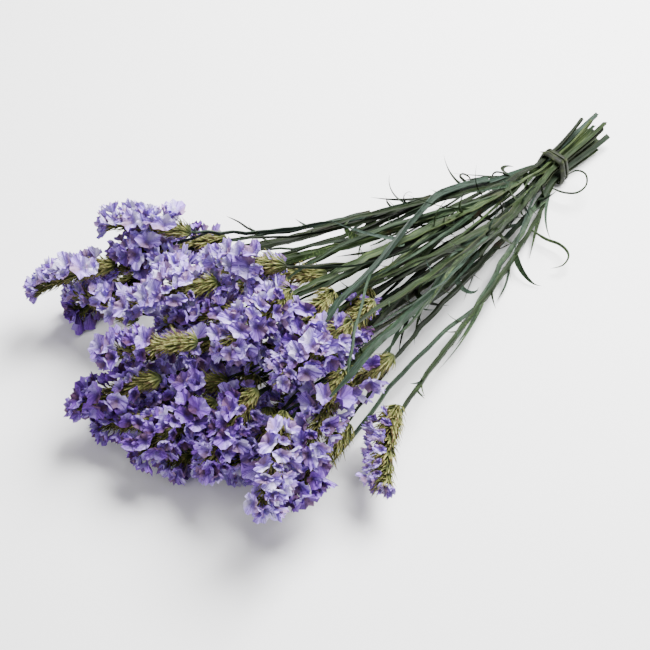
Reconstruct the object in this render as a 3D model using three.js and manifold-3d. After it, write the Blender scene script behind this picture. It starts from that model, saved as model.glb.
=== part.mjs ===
// Dried statice (Limonium sinuatum): a tied bunch of cut flowering stems, lying on its side.
// Millimetres, +Z up. +X runs from the flower heads to the cut ends, and z = 0 is what the bunch lies on.
// Each stem, with its branches, leaves and green bracts, is one solid. The papery florets of each spike
// are another, and an elastic band holds the stems near their cut ends.
import * as THREE from "three";
import { mergeVertices } from "three/addons/utils/BufferGeometryUtils.js";
import Module from "manifold-3d";

const wasm = await Module();
wasm.setup();

// ---------------------------------------------------------------- driving dimensions

const TIE_AT = [167, -4]; // x and y of the band's middle
const TIE_TURN = 10; // the tied end swings this many degrees towards +Y
const ROWS = [4, 4, 3, 3]; // stems in each layer of the tied bundle, from the bottom up
const STEM_PITCH = 5; // between neighbouring stems of a layer, at the band
const LAYER_RISE = 4.3;
const TIED_RADIUS = 2.25; // what a stem needs where it is tied
const TIE_STRAIGHT = 7; // the stems run straight this far to each side of the band's middle
const BAND = { wall: 1.4, groove: 0.25, width: 3, turns: 3, lap: 0.15 };
// The cut ends: how far past the band they reach, how uneven they are, how many times the bundle opens
// on the way, and how it spreads upwards: times its height at the band, less the sink, give or take.
const CUT_END = { reach: 50, uneven: 11, splay: 1.3, spread: 1.5, sink: 3.4, lift: 3, floor: 3.2 };
// A trunk's curve: the shares of its length that it keeps its heading for at the band and at its spike,
// how far it has fanned out and risen by then, and how much it sags before the spike.
const TRUNK_CURVE = { leave: 0.3, fanned: 0.5, risen: 0.3, arrive: 0.24, sag: 4 };
const BRANCH_CURVE = { leave: 0.4, arrive: 0.3, uneven: 0.05 };

// Where each stem's leading spike begins (x, y, z), its heading in degrees from -X towards +Y, its pitch
// above level, the number of spikes in its head, the hand that its other spikes lie to, and the degrees
// that its florets have rolled round their axes.
const HEADS = [
  [-150, 74, 46, 40, -6, 3, 1, 0],
  [-106, 56, 68, 62, 0, 3, 1, 20],
  [-82, -16, 78, 56, -10, 2, -1, -40],
  [-118, 10, 72, 27, -10, 3, 1, 0],
  [-150, -14, 64, 28, -10, 3, -1, 0],
  [-174, -12, 40, 34, -10, 3, 1, 0],
  [-94, -38, 86, -10, -4, 3, -1, 0],
  [-157, -44, 34, 14, -10, 3, 1, 0],
  [-138, -66, 50, -17, -16, 3, -1, 0],
  [-134, -102, 62, -34, -20, 3, 1, 0],
  [-80, -76, 84, -10, -4, 3, -1, 0],
  [-52, -66, 66, 0, 0, 2, -1, 0],
  [-94, -92, 58, -34, -10, 1, 1, 0],
  [-65, -115, 26, -39, -8, 1, 1, 130],
];
// A head's spikes: how far back from the leading one, to the side and down each begins, how far its
// heading turns, and the share of the stem where its branch leaves.
const SPIKE_FAN = [
  { back: 0, side: 0, drop: 0, turn: 0, leave: 1 },
  { back: 14, side: 20, drop: 12, turn: 20, leave: 0.25 },
  { back: 14, side: -18, drop: 24, turn: -22, leave: 0.45 },
];
const SPIKE_VARIES = { turn: 9, pitch: 8, dip: 3, floor: 14 }; // dip: drop for each degree of pitch
const BUNCH_CORE = { y: -20, z: 34 }; // the bunch's middle line, which the florets face away from
const FACING = { back: -0.15, acrossY: 100, acrossZ: 40, lift: 0.3, roll: 38 };

// The leaves that stand out of the bunch: the stem, the share of it where the leaf grows, the leaf's
// roll round the stem from upright, its first angle to the stem, its curl (all degrees) and its length.
const LEAVES = [
  [13, 0.19, -80, 115, -170, 40],
  [13, 0.04, -90, 122, 100, 46],
  [13, 0.42, -60, 30, 10, 26],
  [0, 0.13, 60, 60, 320, 34],
  [0, 0.05, 50, 100, -150, 20],
  [0, 0.32, 60, 40, 40, 16],
  [0, 0.64, 50, 30, 40, 22],
  [1, 0.2, 40, 35, 60, 30],
  [3, 0.22, 10, 40, 60, 34],
  [6, 0.36, -10, 35, 70, 38],
  [9, 0.3, -60, 30, -30, 30],
  [10, 0.2, -20, 40, 70, 36],
  [12, 0.55, -50, 30, 60, 30],
  [7, 0.3, -80, 40, 50, 30],
];
const LEAF = { wide: 1.5, tip: 0.5, thick: 0.45, step: 5.5 };

const SPIKE_LENGTH = 44;
const SPIKE_ARCH = 6; // the tip bends this far away from the florets
const RACHIS = { radius: 1.2, base: 1.1, tip: 0.6, keel: 1.5 };
// Half the width and half the thickness of a trunk where it is cut, at its neck and along its wings, and
// the shares of its length where the wings begin, are full and begin to narrow.
const TRUNK = {
  cut: [2.1, 1.9],
  neck: [1.3, 0.9],
  winged: [3.5, 1.3],
  wings: [0.22, 0.42, 0.72],
  ripple: 0.12,
};
const BRANCH = { base: [2.4, 1], neck: [1.2, 0.9] };
const BRACT = { reach: 6, forward: 5, droop: 3, pairs: 3, uneven: 0.25, setback: 0.04 };
const CORE = {
  gap: 0.4, // above the rachis
  wide: 4.4,
  tall: 2.6,
  rows: [[0.06, 0.6], [0.5, 1], [1, 0.55]], // the place along the spike and the fullness there
  sizes: [1, 0.8, 0.6, 0.45],
};
const FLORET = {
  radius: 6.5,
  depth: 11,
  cup: 0.5, // how deep the funnel's inside goes
  slant: 0.45, // how much nearer than half its depth its sloping wall is to its middle
  lobes: 5,
  foot: 3, // above the rachis
  footSpread: 1.6,
  crumple: [0.14, 0.16], // of the rim's radius and height
  lean: [-0.15, 0.45], // towards the tip, on the spike's first and last florets
  uneven: { roll: 7, lean: 0.1 },
  last: { at: 0.94, lift: 0.4 }, // the floret at the tip
  rows: [
    { roll: -56, at: [0.08, 0.4, 0.72] },
    { roll: 0, at: [0.24, 0.58] },
    { roll: 56, at: [0.14, 0.46, 0.78] },
  ],
  sizes: [1.08, 0.95, 0.8, 0.65], // the largest that is clear of its neighbours is used
};
const CLEARANCE = 0.35; // between solids that would otherwise touch

const SETTLE = {
  rounds: 110,
  step: 9, // between the beads of a line
  push: 0.3,
  homing: 0.03,
  even: 0.35,
  spikeBeads: 4,
  spikeFloor: 10.5, // lowest middle line of a spike
  strandFloor: 0.6, // under a strand that lies low
};
const REACH = { spike: 9.5, spikeToStem: 8, trunk: 3.5, tied: 2.45, tiedFrom: 30, branch: 2.6 };

const COLOURS = { stem: "#5b6b49", florets: "#8f7fcf", band: "#a49a7c" };

// ---------------------------------------------------------------- small helpers

const vec = (x, y, z) => new THREE.Vector3(x, y, z);
const rad = THREE.MathUtils.degToRad;
const mix = THREE.MathUtils.lerp;
const smooth = THREE.MathUtils.smoothstep;
const UP = vec(0, 0, 1);
const range = (count) => Array.from({ length: count }, (_, n) => n);

// A number from -1 to 1 that depends only on n.
function vary(n) {
  const v = Math.sin(n * 12.9898 + 4.1414) * 43758.5453;
  return 2 * (v - Math.floor(v)) - 1;
}

// A unit heading: degrees from -X towards +Y, then degrees above level.
function headingOf(turn, pitch) {
  const level = Math.cos(rad(pitch));
  return vec(-Math.cos(rad(turn)) * level, Math.sin(rad(turn)) * level, Math.sin(rad(pitch)));
}

// Beads along a Bezier curve from p0 to p3.
function bezierBeads(p0, p1, p2, p3) {
  const curve = new THREE.CubicBezierCurve3(p0, p1, p2, p3);
  const count = Math.max(3, Math.round(curve.getLength() / SETTLE.step));
  return range(count + 1).map((k) => curve.getPoint(k / count));
}

// ---------------------------------------------------------------- the bunch's layout

const TIE_ALONG = vec(Math.cos(rad(TIE_TURN)), Math.sin(rad(TIE_TURN)), 0);
const TIE_ACROSS = vec(-TIE_ALONG.y, TIE_ALONG.x, 0);
const LOWEST_LAYER = BAND.wall + CLEARANCE + TIED_RADIUS;

// Each stem's place in the tied bundle. The highest heads take the top layer, and within a layer
// the stems keep the order of their heads from -Y to +Y, so that they fan out without crossing.
function tieSlots() {
  const byHeight = range(HEADS.length).sort((a, b) => HEADS[a][2] - HEADS[b][2]);
  const slots = [];
  ROWS.forEach((count, layer) => {
    const row = byHeight.splice(0, count).sort((a, b) => HEADS[a][1] - HEADS[b][1]);
    row.forEach((stem, k) => {
      slots[stem] = { across: (k - (count - 1) / 2) * STEM_PITCH, z: LOWEST_LAYER + layer * LAYER_RISE };
    });
  });
  return slots;
}

function slotPoint(slot, along = 0, splay = 1) {
  return vec(TIE_AT[0], TIE_AT[1], slot.z)
    .addScaledVector(TIE_ALONG, along)
    .addScaledVector(TIE_ACROSS, slot.across * splay);
}

// A trunk's line, from its cut end through the band to its leading spike. The first beads are held.
function trunkLine(i, slot, base, heading) {
  const end = slotPoint(slot, CUT_END.reach + CUT_END.uneven * vary(i + 0.3), CUT_END.splay);
  const spread = slot.z * CUT_END.spread - CUT_END.sink + CUT_END.lift * vary(i + 0.7);
  end.z = Math.max(CUT_END.floor, spread);
  const opening = slotPoint(slot, 4 * TIE_STRAIGHT, CUT_END.splay);
  const enter = slotPoint(slot, TIE_STRAIGHT);
  const tied = slotPoint(slot, -TIE_STRAIGHT);
  const tail = bezierBeads(end, opening, slotPoint(slot, 2 * TIE_STRAIGHT), enter);
  const reach = tied.distanceTo(base);
  const leave = TRUNK_CURVE.leave * reach;
  const fan = vec(
    tied.x - leave,
    tied.y - leave * TIE_ALONG.y + TRUNK_CURVE.fanned * (base.y - tied.y),
    tied.z + TRUNK_CURVE.risen * (base.z - tied.z),
  );
  const arrive = base.clone().addScaledVector(heading, -TRUNK_CURVE.arrive * reach);
  arrive.z = base.z - TRUNK_CURVE.sag;
  const beads = [...tail, slotPoint(slot), ...bezierBeads(tied, fan, arrive, base)];
  const held = beads.slice(0, tail.length + 2).map((p) => p.clone());
  return { beads, held };
}

// Where spike k of stem i begins, and where it heads.
function spikeStart(i, k) {
  const [x, y, z, turn, pitch, , hand] = HEADS[i];
  const fan = SPIKE_FAN[k];
  const heading = headingOf(
    turn + hand * fan.turn + SPIKE_VARIES.turn * vary(7 * i + k),
    pitch - fan.drop / SPIKE_VARIES.dip + SPIKE_VARIES.pitch * vary(11 * i + k),
  );
  const lead = headingOf(turn, 0);
  const side = vec(-lead.y, lead.x, 0);
  const base = vec(x, y, z)
    .addScaledVector(lead, -fan.back)
    .addScaledVector(side, hand * fan.side);
  base.z = Math.max(SPIKE_VARIES.floor, z - fan.drop);
  return { base, heading };
}

// A branch's line from a bead of its trunk to its spike.
function branchLine(trunk, share, { base, heading }) {
  const leave = Math.round(mix(trunk.held.length, trunk.beads.length - 1, share));
  const from = trunk.beads[leave];
  const onward = trunk.beads[leave + 1].clone().sub(from).normalize();
  const reach = from.distanceTo(base);
  const go = from.clone().addScaledVector(onward, BRANCH_CURVE.leave * reach);
  const arrive = base.clone().addScaledVector(heading, -BRANCH_CURVE.arrive * reach);
  return { leave, beads: bezierBeads(from, go, arrive, base) };
}

// A stem as strings of beads: a trunk, branches that leave it, and a straight row for each spike.
function startingStem(head, i, slots) {
  const starts = range(head[5]).map((k) => spikeStart(i, k));
  const trunk = trunkLine(i, slots[i], starts[0].base, starts[0].heading);
  const branches = starts.slice(1).map((start, k) => {
    const share = SPIKE_FAN[k + 1].leave + BRANCH_CURVE.uneven * vary(5 * i + k);
    return branchLine(trunk, share, start);
  });
  const spikes = starts.map(({ base, heading }) =>
    range(SETTLE.spikeBeads).map((n) =>
      base.clone().addScaledVector(heading, (SPIKE_LENGTH * n) / (SETTLE.spikeBeads - 1)),
    ),
  );
  return { trunk, branches, spikes };
}

// ---------------------------------------------------------------- settling

// Every bead of the bunch, with what it needs to know when two beads meet.
function looseBeads(stems) {
  const beads = [];
  const add = (points, stem, kind, spike) =>
    points.forEach((at) => beads.push({ at, stem, kind, spike, home: at.clone() }));
  stems.forEach((s, i) => {
    add(s.trunk.beads, i, "trunk");
    s.branches.forEach((b) => add(b.beads, i, "branch"));
    s.spikes.forEach((points, k) => add(points, i, "spike", k));
  });
  return beads;
}

function reachOf(bead) {
  const isTied = bead.kind === "trunk" && bead.at.x > TIE_AT[0] - REACH.tiedFrom;
  return isTied ? REACH.tied : REACH[bead.kind];
}

// How far apart two beads should be, or 0 where they may overlap.
function spacing(a, b) {
  const spikes = (a.kind === "spike") + (b.kind === "spike");
  if (a.stem === b.stem && (spikes < 2 || a.spike === b.spike)) return 0;
  return spikes === 1 ? REACH.spikeToStem + Math.min(reachOf(a), reachOf(b)) : reachOf(a) + reachOf(b);
}

function pushApart(beads) {
  const moves = beads.map(() => vec(0, 0, 0));
  beads.forEach((a, m) => {
    for (let n = m + 1; n < beads.length; n++) {
      const apart = a.at.clone().sub(beads[n].at);
      const gap = apart.length();
      const need = spacing(a, beads[n]);
      if (gap >= need) continue;
      apart.multiplyScalar((SETTLE.push * (need - gap)) / gap);
      moves[m].add(apart);
      moves[n].sub(apart);
    }
  });
  beads.forEach((b, m) => {
    b.at.add(moves[m]);
    const isSpike = b.kind === "spike";
    if (isSpike) b.at.lerp(b.home, SETTLE.homing);
    b.at.z = Math.max(b.at.z, isSpike ? SETTLE.spikeFloor : reachOf(b) + SETTLE.strandFloor);
  });
}

// A spike's beads go back to a straight, evenly spaced row.
function straighten(points) {
  const last = points.length - 1;
  const middle = points.reduce((sum, p) => sum.add(p), vec(0, 0, 0)).divideScalar(points.length);
  const along = points[last].clone().sub(points[0]).normalize();
  points.forEach((p, n) => p.copy(middle).addScaledVector(along, SPIKE_LENGTH * (n / last - 0.5)));
}

// A line keeps its end and evens out its kinks, from bead `first` on.
function evenOut(points, first, end) {
  points[points.length - 1].copy(end);
  const before = points.map((p) => p.clone());
  for (let n = first; n < points.length - 1; n++) {
    const middle = before[n - 1].clone().add(before[n + 1]).multiplyScalar(0.5);
    points[n].lerp(middle, SETTLE.even);
  }
}

function settle(stems) {
  const beads = looseBeads(stems);
  for (let round = 0; round < SETTLE.rounds; round++) {
    pushApart(beads);
    stems.forEach(({ trunk, branches, spikes }) => {
      spikes.forEach(straighten);
      evenOut(trunk.beads, trunk.held.length, spikes[0][0]);
      trunk.held.forEach((at, n) => trunk.beads[n].copy(at));
      branches.forEach((b, k) => {
        b.beads[0].copy(trunk.beads[b.leave]);
        evenOut(b.beads, 1, spikes[k + 1][0]);
      });
    });
  }
}

// A spike's own frame. Its florets' side faces out of the bunch, give or take a roll.
function spikeFrame(points, i, k) {
  const base = points[0].clone();
  const along = points[points.length - 1].clone().sub(base).normalize();
  const middle = base.clone().addScaledVector(along, SPIKE_LENGTH / 2);
  const across = (middle.y - BUNCH_CORE.y) / FACING.acrossY;
  const out = vec(FACING.back, across, (middle.z - BUNCH_CORE.z) / FACING.acrossZ + FACING.lift);
  out.addScaledVector(along, -out.dot(along)).normalize();
  out.applyAxisAngle(along, rad(HEADS[i][7] + FACING.roll * vary(13 * i + 3 * k + 0.5)));
  return { base, along, out, side: out.clone().cross(along) };
}

// A point on a spike: t along the arched rachis, then out towards the florets, and to the side.
function onSpike(f, t, out = 0, side = 0) {
  return f.base
    .clone()
    .addScaledVector(f.along, SPIKE_LENGTH * t)
    .addScaledVector(f.out, out - SPIKE_ARCH * t * t)
    .addScaledVector(f.side, side);
}

// ---------------------------------------------------------------- solids

// A closed three.js geometry as a solid, with its shared corners merged and its faces pointing out.
function solid(geometry) {
  const bare = new THREE.BufferGeometry();
  bare.setAttribute("position", geometry.getAttribute("position"));
  bare.setIndex(geometry.index);
  const merged = mergeVertices(bare, 1e-4);
  const index = merged.index.array;
  const faces = range(index.length / 3)
    .map((n) => [index[3 * n], index[3 * n + 1], index[3 * n + 2]])
    .filter(([a, b, c]) => a !== b && b !== c && a !== c);
  const make = (list) =>
    new wasm.Manifold(
      new wasm.Mesh({
        numProp: 3,
        vertProperties: merged.getAttribute("position").array,
        triVerts: new Uint32Array(list.flat()),
      }),
    );
  const made = make(faces);
  return made.volume() > 0 ? made : make(faces.map(([a, b, c]) => [a, c, b]));
}

const union = (solids) => wasm.Manifold.union(solids);
const largest = (piece) => piece.decompose().sort((a, b) => b.volume() - a.volume())[0];
const aboveGround = (piece) => piece.trimByPlane([0, 0, 1], 0);

// A closed solid through rows of corners, with a middle point for each end.
function loft(rows, startMiddle, endMiddle) {
  const sides = rows[0].length;
  const last = rows.length - 1;
  const corners = [...rows.flat(), startMiddle, endMiddle];
  const index = [];
  for (let n = 0; n < sides; n++) {
    const next = (n + 1) % sides;
    for (let r = 0; r < last; r++) {
      const a = r * sides + n;
      const b = r * sides + next;
      index.push(a, b, b + sides, a, b + sides, a + sides);
    }
    index.push(next, n, corners.length - 2);
    index.push(last * sides + n, last * sides + next, corners.length - 1);
  }
  const geometry = new THREE.BufferGeometry().setFromPoints(corners);
  geometry.setIndex(index);
  return solid(geometry);
}

// The rows of corners of a tube along some beads, which twists until its flat side faces endSide.
// section(u) gives the outline's [x, y] points at share u of the way, and picks are the beads to use.
function tubeRows(beads, picks, section, endSide, halfTurns = 0) {
  const last = beads.length - 1;
  const normal = UP.clone();
  const steps = picks.map((n) => {
    const tangent = beads[Math.min(n + 1, last)].clone().sub(beads[Math.max(n - 1, 0)]).normalize();
    normal.addScaledVector(tangent, -normal.dot(tangent)).normalize();
    return { at: beads[n], u: n / last, a: normal.clone(), b: tangent.clone().cross(normal) };
  });
  const end = steps[steps.length - 1];
  const twist = Math.atan2(endSide.dot(end.b), endSide.dot(end.a)) + halfTurns * Math.PI;
  return steps.map(({ at, u, a, b }) => {
    const [c, s] = [Math.cos(twist * u), Math.sin(twist * u)];
    return section(u).map(([x, y]) =>
      at.clone().addScaledVector(a, x * c - y * s).addScaledVector(b, x * s + y * c),
    );
  });
}

// A flattened outline: two sharp edges and two blunt ones.
function flatOutline(wide, thick) {
  return [[wide, 0], [0, thick], [-wide, 0], [0, -thick]];
}

// Every third bead between two, and both of them.
function everyThird(from, to) {
  const count = Math.max(1, Math.round((to - from) / 3));
  return range(count + 1).map((n) => Math.round(mix(from, to, n / count)));
}

// A trunk is stout where it is cut and tied, and winged along its middle.
function trunkShape(seed) {
  return (u, grow) => {
    const [begin, full, narrow] = TRUNK.wings;
    const winged = smooth(u, begin, full) * (1 - smooth(u, narrow, 1));
    const half = (n) => mix(mix(TRUNK.cut[n], TRUNK.neck[n], u), TRUNK.winged[n], winged);
    const ripple = 1 + TRUNK.ripple * vary(seed + Math.round(u * 20));
    return flatOutline(half(0) * ripple + grow, half(1) + grow);
  };
}

function branchShape(u, grow) {
  const [wide, thick] = [0, 1].map((n) => mix(BRANCH.base[n], BRANCH.neck[n], u) + grow);
  return flatOutline(wide, thick);
}

// The rachis with its comb of pointed bracts, which stand forwards and droop away from the florets.
function combRows(f, seed, grow) {
  const count = 2 * BRACT.pairs;
  return range(count).map((r) => {
    const t = (r + 1) / count - BRACT.setback;
    const slim = mix(RACHIS.base, RACHIS.tip, t) + grow;
    const hand = (k) => 1 + BRACT.uneven * vary(seed + 2 * r + k);
    const tooth = (side, k) => [side * BRACT.reach * hand(k), -BRACT.droop, BRACT.forward * hand(k + 1)];
    const toothed = [tooth(1, 0), [0, slim], tooth(-1, 2), [0, -slim * RACHIS.keel]];
    const section = r % 2 ? flatOutline(slim, slim) : toothed;
    return section.map(([side, out, on = 0]) => onSpike(f, t + on / SPIKE_LENGTH, out, side));
  });
}

// A trunk or branch, with its spike's comb at its end.
function strandSolid(beads, picks, f, seed, shape, grow) {
  const stem = tubeRows(beads, picks, (u) => shape(u, grow), f.side, (seed % 3) - 1);
  return loft([...stem, ...combRows(f, seed, grow)], beads[0], onSpike(f, 1));
}

// A stem's strands in one solid. A grown one is thicker by the clearance, and cuts its neighbours.
function stemSolid({ trunk, branches }, frames, i, grow = 0) {
  const last = trunk.beads.length - 1;
  const held = trunk.held.length;
  const picks = [...everyThird(0, held - 3), ...everyThird(held - 1, last)];
  const strands = branches.map(({ beads }, k) => {
    const seed = 40 * i + 7 * k + 3;
    return strandSolid(beads, everyThird(0, beads.length - 1), frames[k + 1], seed, branchShape, grow);
  });
  return union([...strands, strandSolid(trunk.beads, picks, frames[0], 40 * i, trunkShape(40 * i), grow)]);
}

// A narrow leaf that grows from a trunk and curls as it dries.
function leafSolid({ beads, held }, [, share, roll, from, curl, length], grow = 0) {
  const k = Math.round(mix(held.length, beads.length - 3, share));
  const along = beads[k + 1].clone().sub(beads[k]).normalize();
  const out = UP.clone().addScaledVector(along, -along.z).normalize();
  out.applyAxisAngle(along, rad(roll));
  const count = Math.max(3, Math.round(length / LEAF.step));
  const points = [beads[k].clone()];
  for (let n = 0; n < count; n++) {
    const angle = rad(from + (curl * n) / count);
    const next = points[n].clone().addScaledVector(along, (Math.cos(angle) * length) / count);
    points.push(next.addScaledVector(out, (Math.sin(angle) * length) / count));
  }
  const shape = (u) => flatOutline(mix(LEAF.wide, LEAF.tip, u * u) + grow, LEAF.thick + grow);
  const rows = tubeRows(points, range(count + 1), shape, along.clone().cross(out));
  return loft(rows, points[0], points[count]);
}

// A floret is a papery funnel with a pointed lobe at each corner of its waved rim, made along +Y.
function floretGeometry(size, seed) {
  const { radius, depth, cup, lobes, crumple } = FLORET;
  const profile = [
    new THREE.Vector2(0, 0),
    new THREE.Vector2(radius * size, depth * size),
    new THREE.Vector2(0, depth * cup * size),
  ];
  const g = new THREE.LatheGeometry(profile, lobes);
  const at = g.getAttribute("position");
  for (let n = 0; n < at.count; n++) {
    const [x, y, z] = [at.getX(n), at.getY(n), at.getZ(n)];
    if (Math.hypot(x, z) < 1e-3) continue;
    const corner = Math.round((Math.atan2(x, z) / (2 * Math.PI)) * lobes + lobes) % lobes;
    const wider = 1 + crumple[0] * vary(seed + corner);
    const lower = 1 - crumple[1] * vary(seed + corner);
    at.setXYZ(n, x * wider, y * lower, z * wider);
  }
  return g;
}

// Where a spike's florets grow: three staggered rows above the rachis, and one floret at the tip.
function floretPlaces(f, seed) {
  const { rows, lean, uneven, last } = FLORET;
  const places = rows.flatMap(({ roll, at }, row) =>
    at.map((t, n) => {
      const spread = rad(roll + uneven.roll * vary(seed + 5 * row + n));
      const forwards = mix(lean[0], lean[1], t) + uneven.lean * vary(seed + 3 * row + 7 * n);
      const direction = vec(0, 0, 0)
        .addScaledVector(f.out, Math.cos(spread))
        .addScaledVector(f.side, Math.sin(spread))
        .addScaledVector(f.along, forwards);
      const foot = onSpike(f, t, FLORET.foot, FLORET.footSpread * Math.sin(spread));
      return { foot, direction, seed: seed + 17 * n + 5 * row };
    }),
  );
  const direction = f.along.clone().addScaledVector(f.out, last.lift);
  return [...places, { foot: onSpike(f, last.at, FLORET.foot), direction, seed: seed + 99 }];
}

// A floret's geometry turned to its place, grown about its middle by `grow` on each side.
function plantedFloret({ foot, direction, seed }, size, grow = 0) {
  const turn = new THREE.Quaternion().setFromUnitVectors(vec(0, 1, 0), direction.clone().normalize());
  const matrix = new THREE.Matrix4().makeRotationFromQuaternion(turn).setPosition(foot);
  const middle = (FLORET.depth * size) / 2;
  const swell = 1 + grow / (FLORET.slant * middle);
  return floretGeometry(size, seed)
    .translate(0, -middle, 0)
    .scale(swell, swell, swell)
    .translate(0, middle, 0)
    .rotateY(seed)
    .applyMatrix4(matrix);
}

// The packed tubes of the florets, as a slim ridge above the rachis.
function coreSolid(f, size) {
  const lift = RACHIS.radius + CORE.gap + CORE.tall * size;
  const rows = CORE.rows.map(([t, full]) =>
    flatOutline(CORE.wide * full * size, CORE.tall * full * size).map(([side, out]) =>
      onSpike(f, t, lift + out, side),
    ),
  );
  return loft(rows, onSpike(f, CORE.rows[0][0], lift), onSpike(f, CORE.rows.at(-1)[0], lift));
}

// ---------------------------------------------------------------- the band

const crossing = (o, a, b) => (a[0] - o[0]) * (b[1] - o[1]) - (a[1] - o[1]) * (b[0] - o[0]);

// The convex outline round a set of points, counter-clockwise.
function convexOutline(points) {
  const half = (list) => {
    const kept = [];
    for (const p of list) {
      while (kept.length > 1 && crossing(kept.at(-2), kept.at(-1), p) <= 1e-9) kept.pop();
      kept.push(p);
    }
    return kept.slice(0, -1);
  };
  const sorted = [...points].sort((a, b) => a[0] - b[0] || a[1] - b[1]);
  return [...half(sorted), ...half(sorted.reverse())].map(([x, y]) => new THREE.Vector2(x, y));
}

// An outline at a distance from the tied stems' middles, with a flat under the lowest layer.
function bundleOutline(slots, distance) {
  const corner = distance / Math.cos(Math.PI / 8);
  const points = slots.flatMap(({ across, z }) =>
    range(8).map((n) => {
      const a = ((n + 0.5) * Math.PI) / 4;
      return [across + corner * Math.cos(a), z + corner * Math.sin(a)];
    }),
  );
  return convexOutline(points);
}

// The band's turns lie side by side, and the middle one is pulled a little tighter.
function bandSolid(slots) {
  const inner = TIED_RADIUS + CLEARANCE;
  const turns = range(BAND.turns).map((n) => {
    const wall = n % 2 ? BAND.wall - BAND.groove : BAND.wall;
    const shape = new THREE.Shape(bundleOutline(slots, inner + wall));
    shape.holes.push(new THREE.Path(bundleOutline(slots, inner)));
    const turn = new THREE.ExtrudeGeometry(shape, { depth: BAND.width, bevelEnabled: false });
    return solid(turn.translate(0, 0, (n - BAND.turns / 2) * (BAND.width - BAND.lap)));
  });
  const upright = new THREE.Matrix4().makeBasis(TIE_ACROSS, UP, TIE_ALONG);
  return union(turns).transform(upright.setPosition(TIE_AT[0], TIE_AT[1], 0).toArray());
}

// ---------------------------------------------------------------- fitting the pieces together

const placed = new Map(); // each owner's solid, which later pieces keep clear of

function boxesMeet(a, b) {
  return [0, 1, 2].every((n) => a.min[n] <= b.max[n] && b.min[n] <= a.max[n]);
}

function isClear(trial, owner) {
  const box = trial.boundingBox();
  return [...placed].every(
    ([other, piece]) =>
      other === owner || !boxesMeet(piece.boundingBox(), box) || trial.intersect(piece).isEmpty(),
  );
}

// The stems, each cut back where a later one would come too close.
function fittedStems(stems, frames) {
  const grown = stems.map((s, i) => stemSolid(s, frames[i], i, CLEARANCE));
  stems.forEach((s, i) => {
    let stem = stemSolid(s, frames[i], i);
    grown.slice(i + 1).forEach((other) => {
      if (boxesMeet(stem.boundingBox(), other.boundingBox())) stem = stem.subtract(other);
    });
    placed.set(i, largest(stem));
  });
}

// A leaf that would touch another stem is left out.
function addLeaves(stems) {
  LEAVES.forEach((leaf) => {
    const stem = placed.get(leaf[0]);
    const grown = leafSolid(stems[leaf[0]].trunk, leaf, CLEARANCE);
    if (isClear(grown, leaf[0])) placed.set(leaf[0], union([stem, leafSolid(stems[leaf[0]].trunk, leaf)]));
  });
}

// A spike's florets on their core, each as large as its neighbours allow.
function bloomSolid(f, owner, seed) {
  const coreSize = CORE.sizes.find((size) => isClear(coreSolid(f, size), owner));
  const parts = [coreSolid(f, coreSize)];
  floretPlaces(f, seed).forEach((place) => {
    const size = FLORET.sizes.find((s) => isClear(solid(plantedFloret(place, s, CLEARANCE)), owner));
    if (size) parts.push(solid(plantedFloret(place, size)));
  });
  return largest(aboveGround(union(parts)));
}

// ---------------------------------------------------------------- the nodes

function meshOf(name, piece, colour, roughness) {
  const { vertProperties, triVerts } = piece.getMesh();
  const geometry = new THREE.BufferGeometry();
  geometry.setAttribute("position", new THREE.Float32BufferAttribute(vertProperties, 3));
  geometry.setIndex([...triVerts]);
  const mesh = new THREE.Mesh(
    geometry,
    new THREE.MeshStandardMaterial({ color: colour, roughness, metalness: 0 }),
  );
  mesh.name = name;
  return mesh;
}

const slots = tieSlots();
const stems = HEADS.map((head, i) => startingStem(head, i, slots));
settle(stems);
const frames = stems.map((s, i) => s.spikes.map((points, k) => spikeFrame(points, i, k)));

fittedStems(stems, frames);
addLeaves(stems);
const band = bandSolid(slots);
const group = new THREE.Group();
stems.forEach((_, i) => placed.set(i, largest(aboveGround(placed.get(i)))));
frames.forEach((spikes, i) => {
  const number = String(i + 1).padStart(2, "0");
  group.add(meshOf(`stem_${number}`, placed.get(i), COLOURS.stem, 0.8));
  spikes.forEach((f, k) => {
    const name = `florets_${number}${"abc"[k]}`;
    const bloom = bloomSolid(f, name, 31 * i + 7 * k);
    placed.set(name, bloom);
    group.add(meshOf(name, bloom, COLOURS.florets, 0.75));
  });
});
group.add(meshOf("band", band, COLOURS.band, 0.6));

// The origin goes under the middle of the bunch.
const whole = new THREE.Box3().setFromObject(group);
const middle = whole.getCenter(vec(0, 0, 0));
group.position.set(-middle.x, -middle.y, -whole.min.z);

export default group;
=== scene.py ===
# %% [markdown]
# # A tied bunch of dried statice
#
# Statice is a branching herb whose papery violet florets keep their shape and colour when they dry. The
# bunch lies on a pale table with its heads spread out and its cut ends held by an elastic band. The packed
# model gives every stem and every head of florets its place and its real size. Here each of them is
# modelled again, with wings, bracts and ruffled florets, in the same place.

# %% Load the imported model
import math

import bpy
import numpy as np
from mathutils import Matrix, Vector


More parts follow.
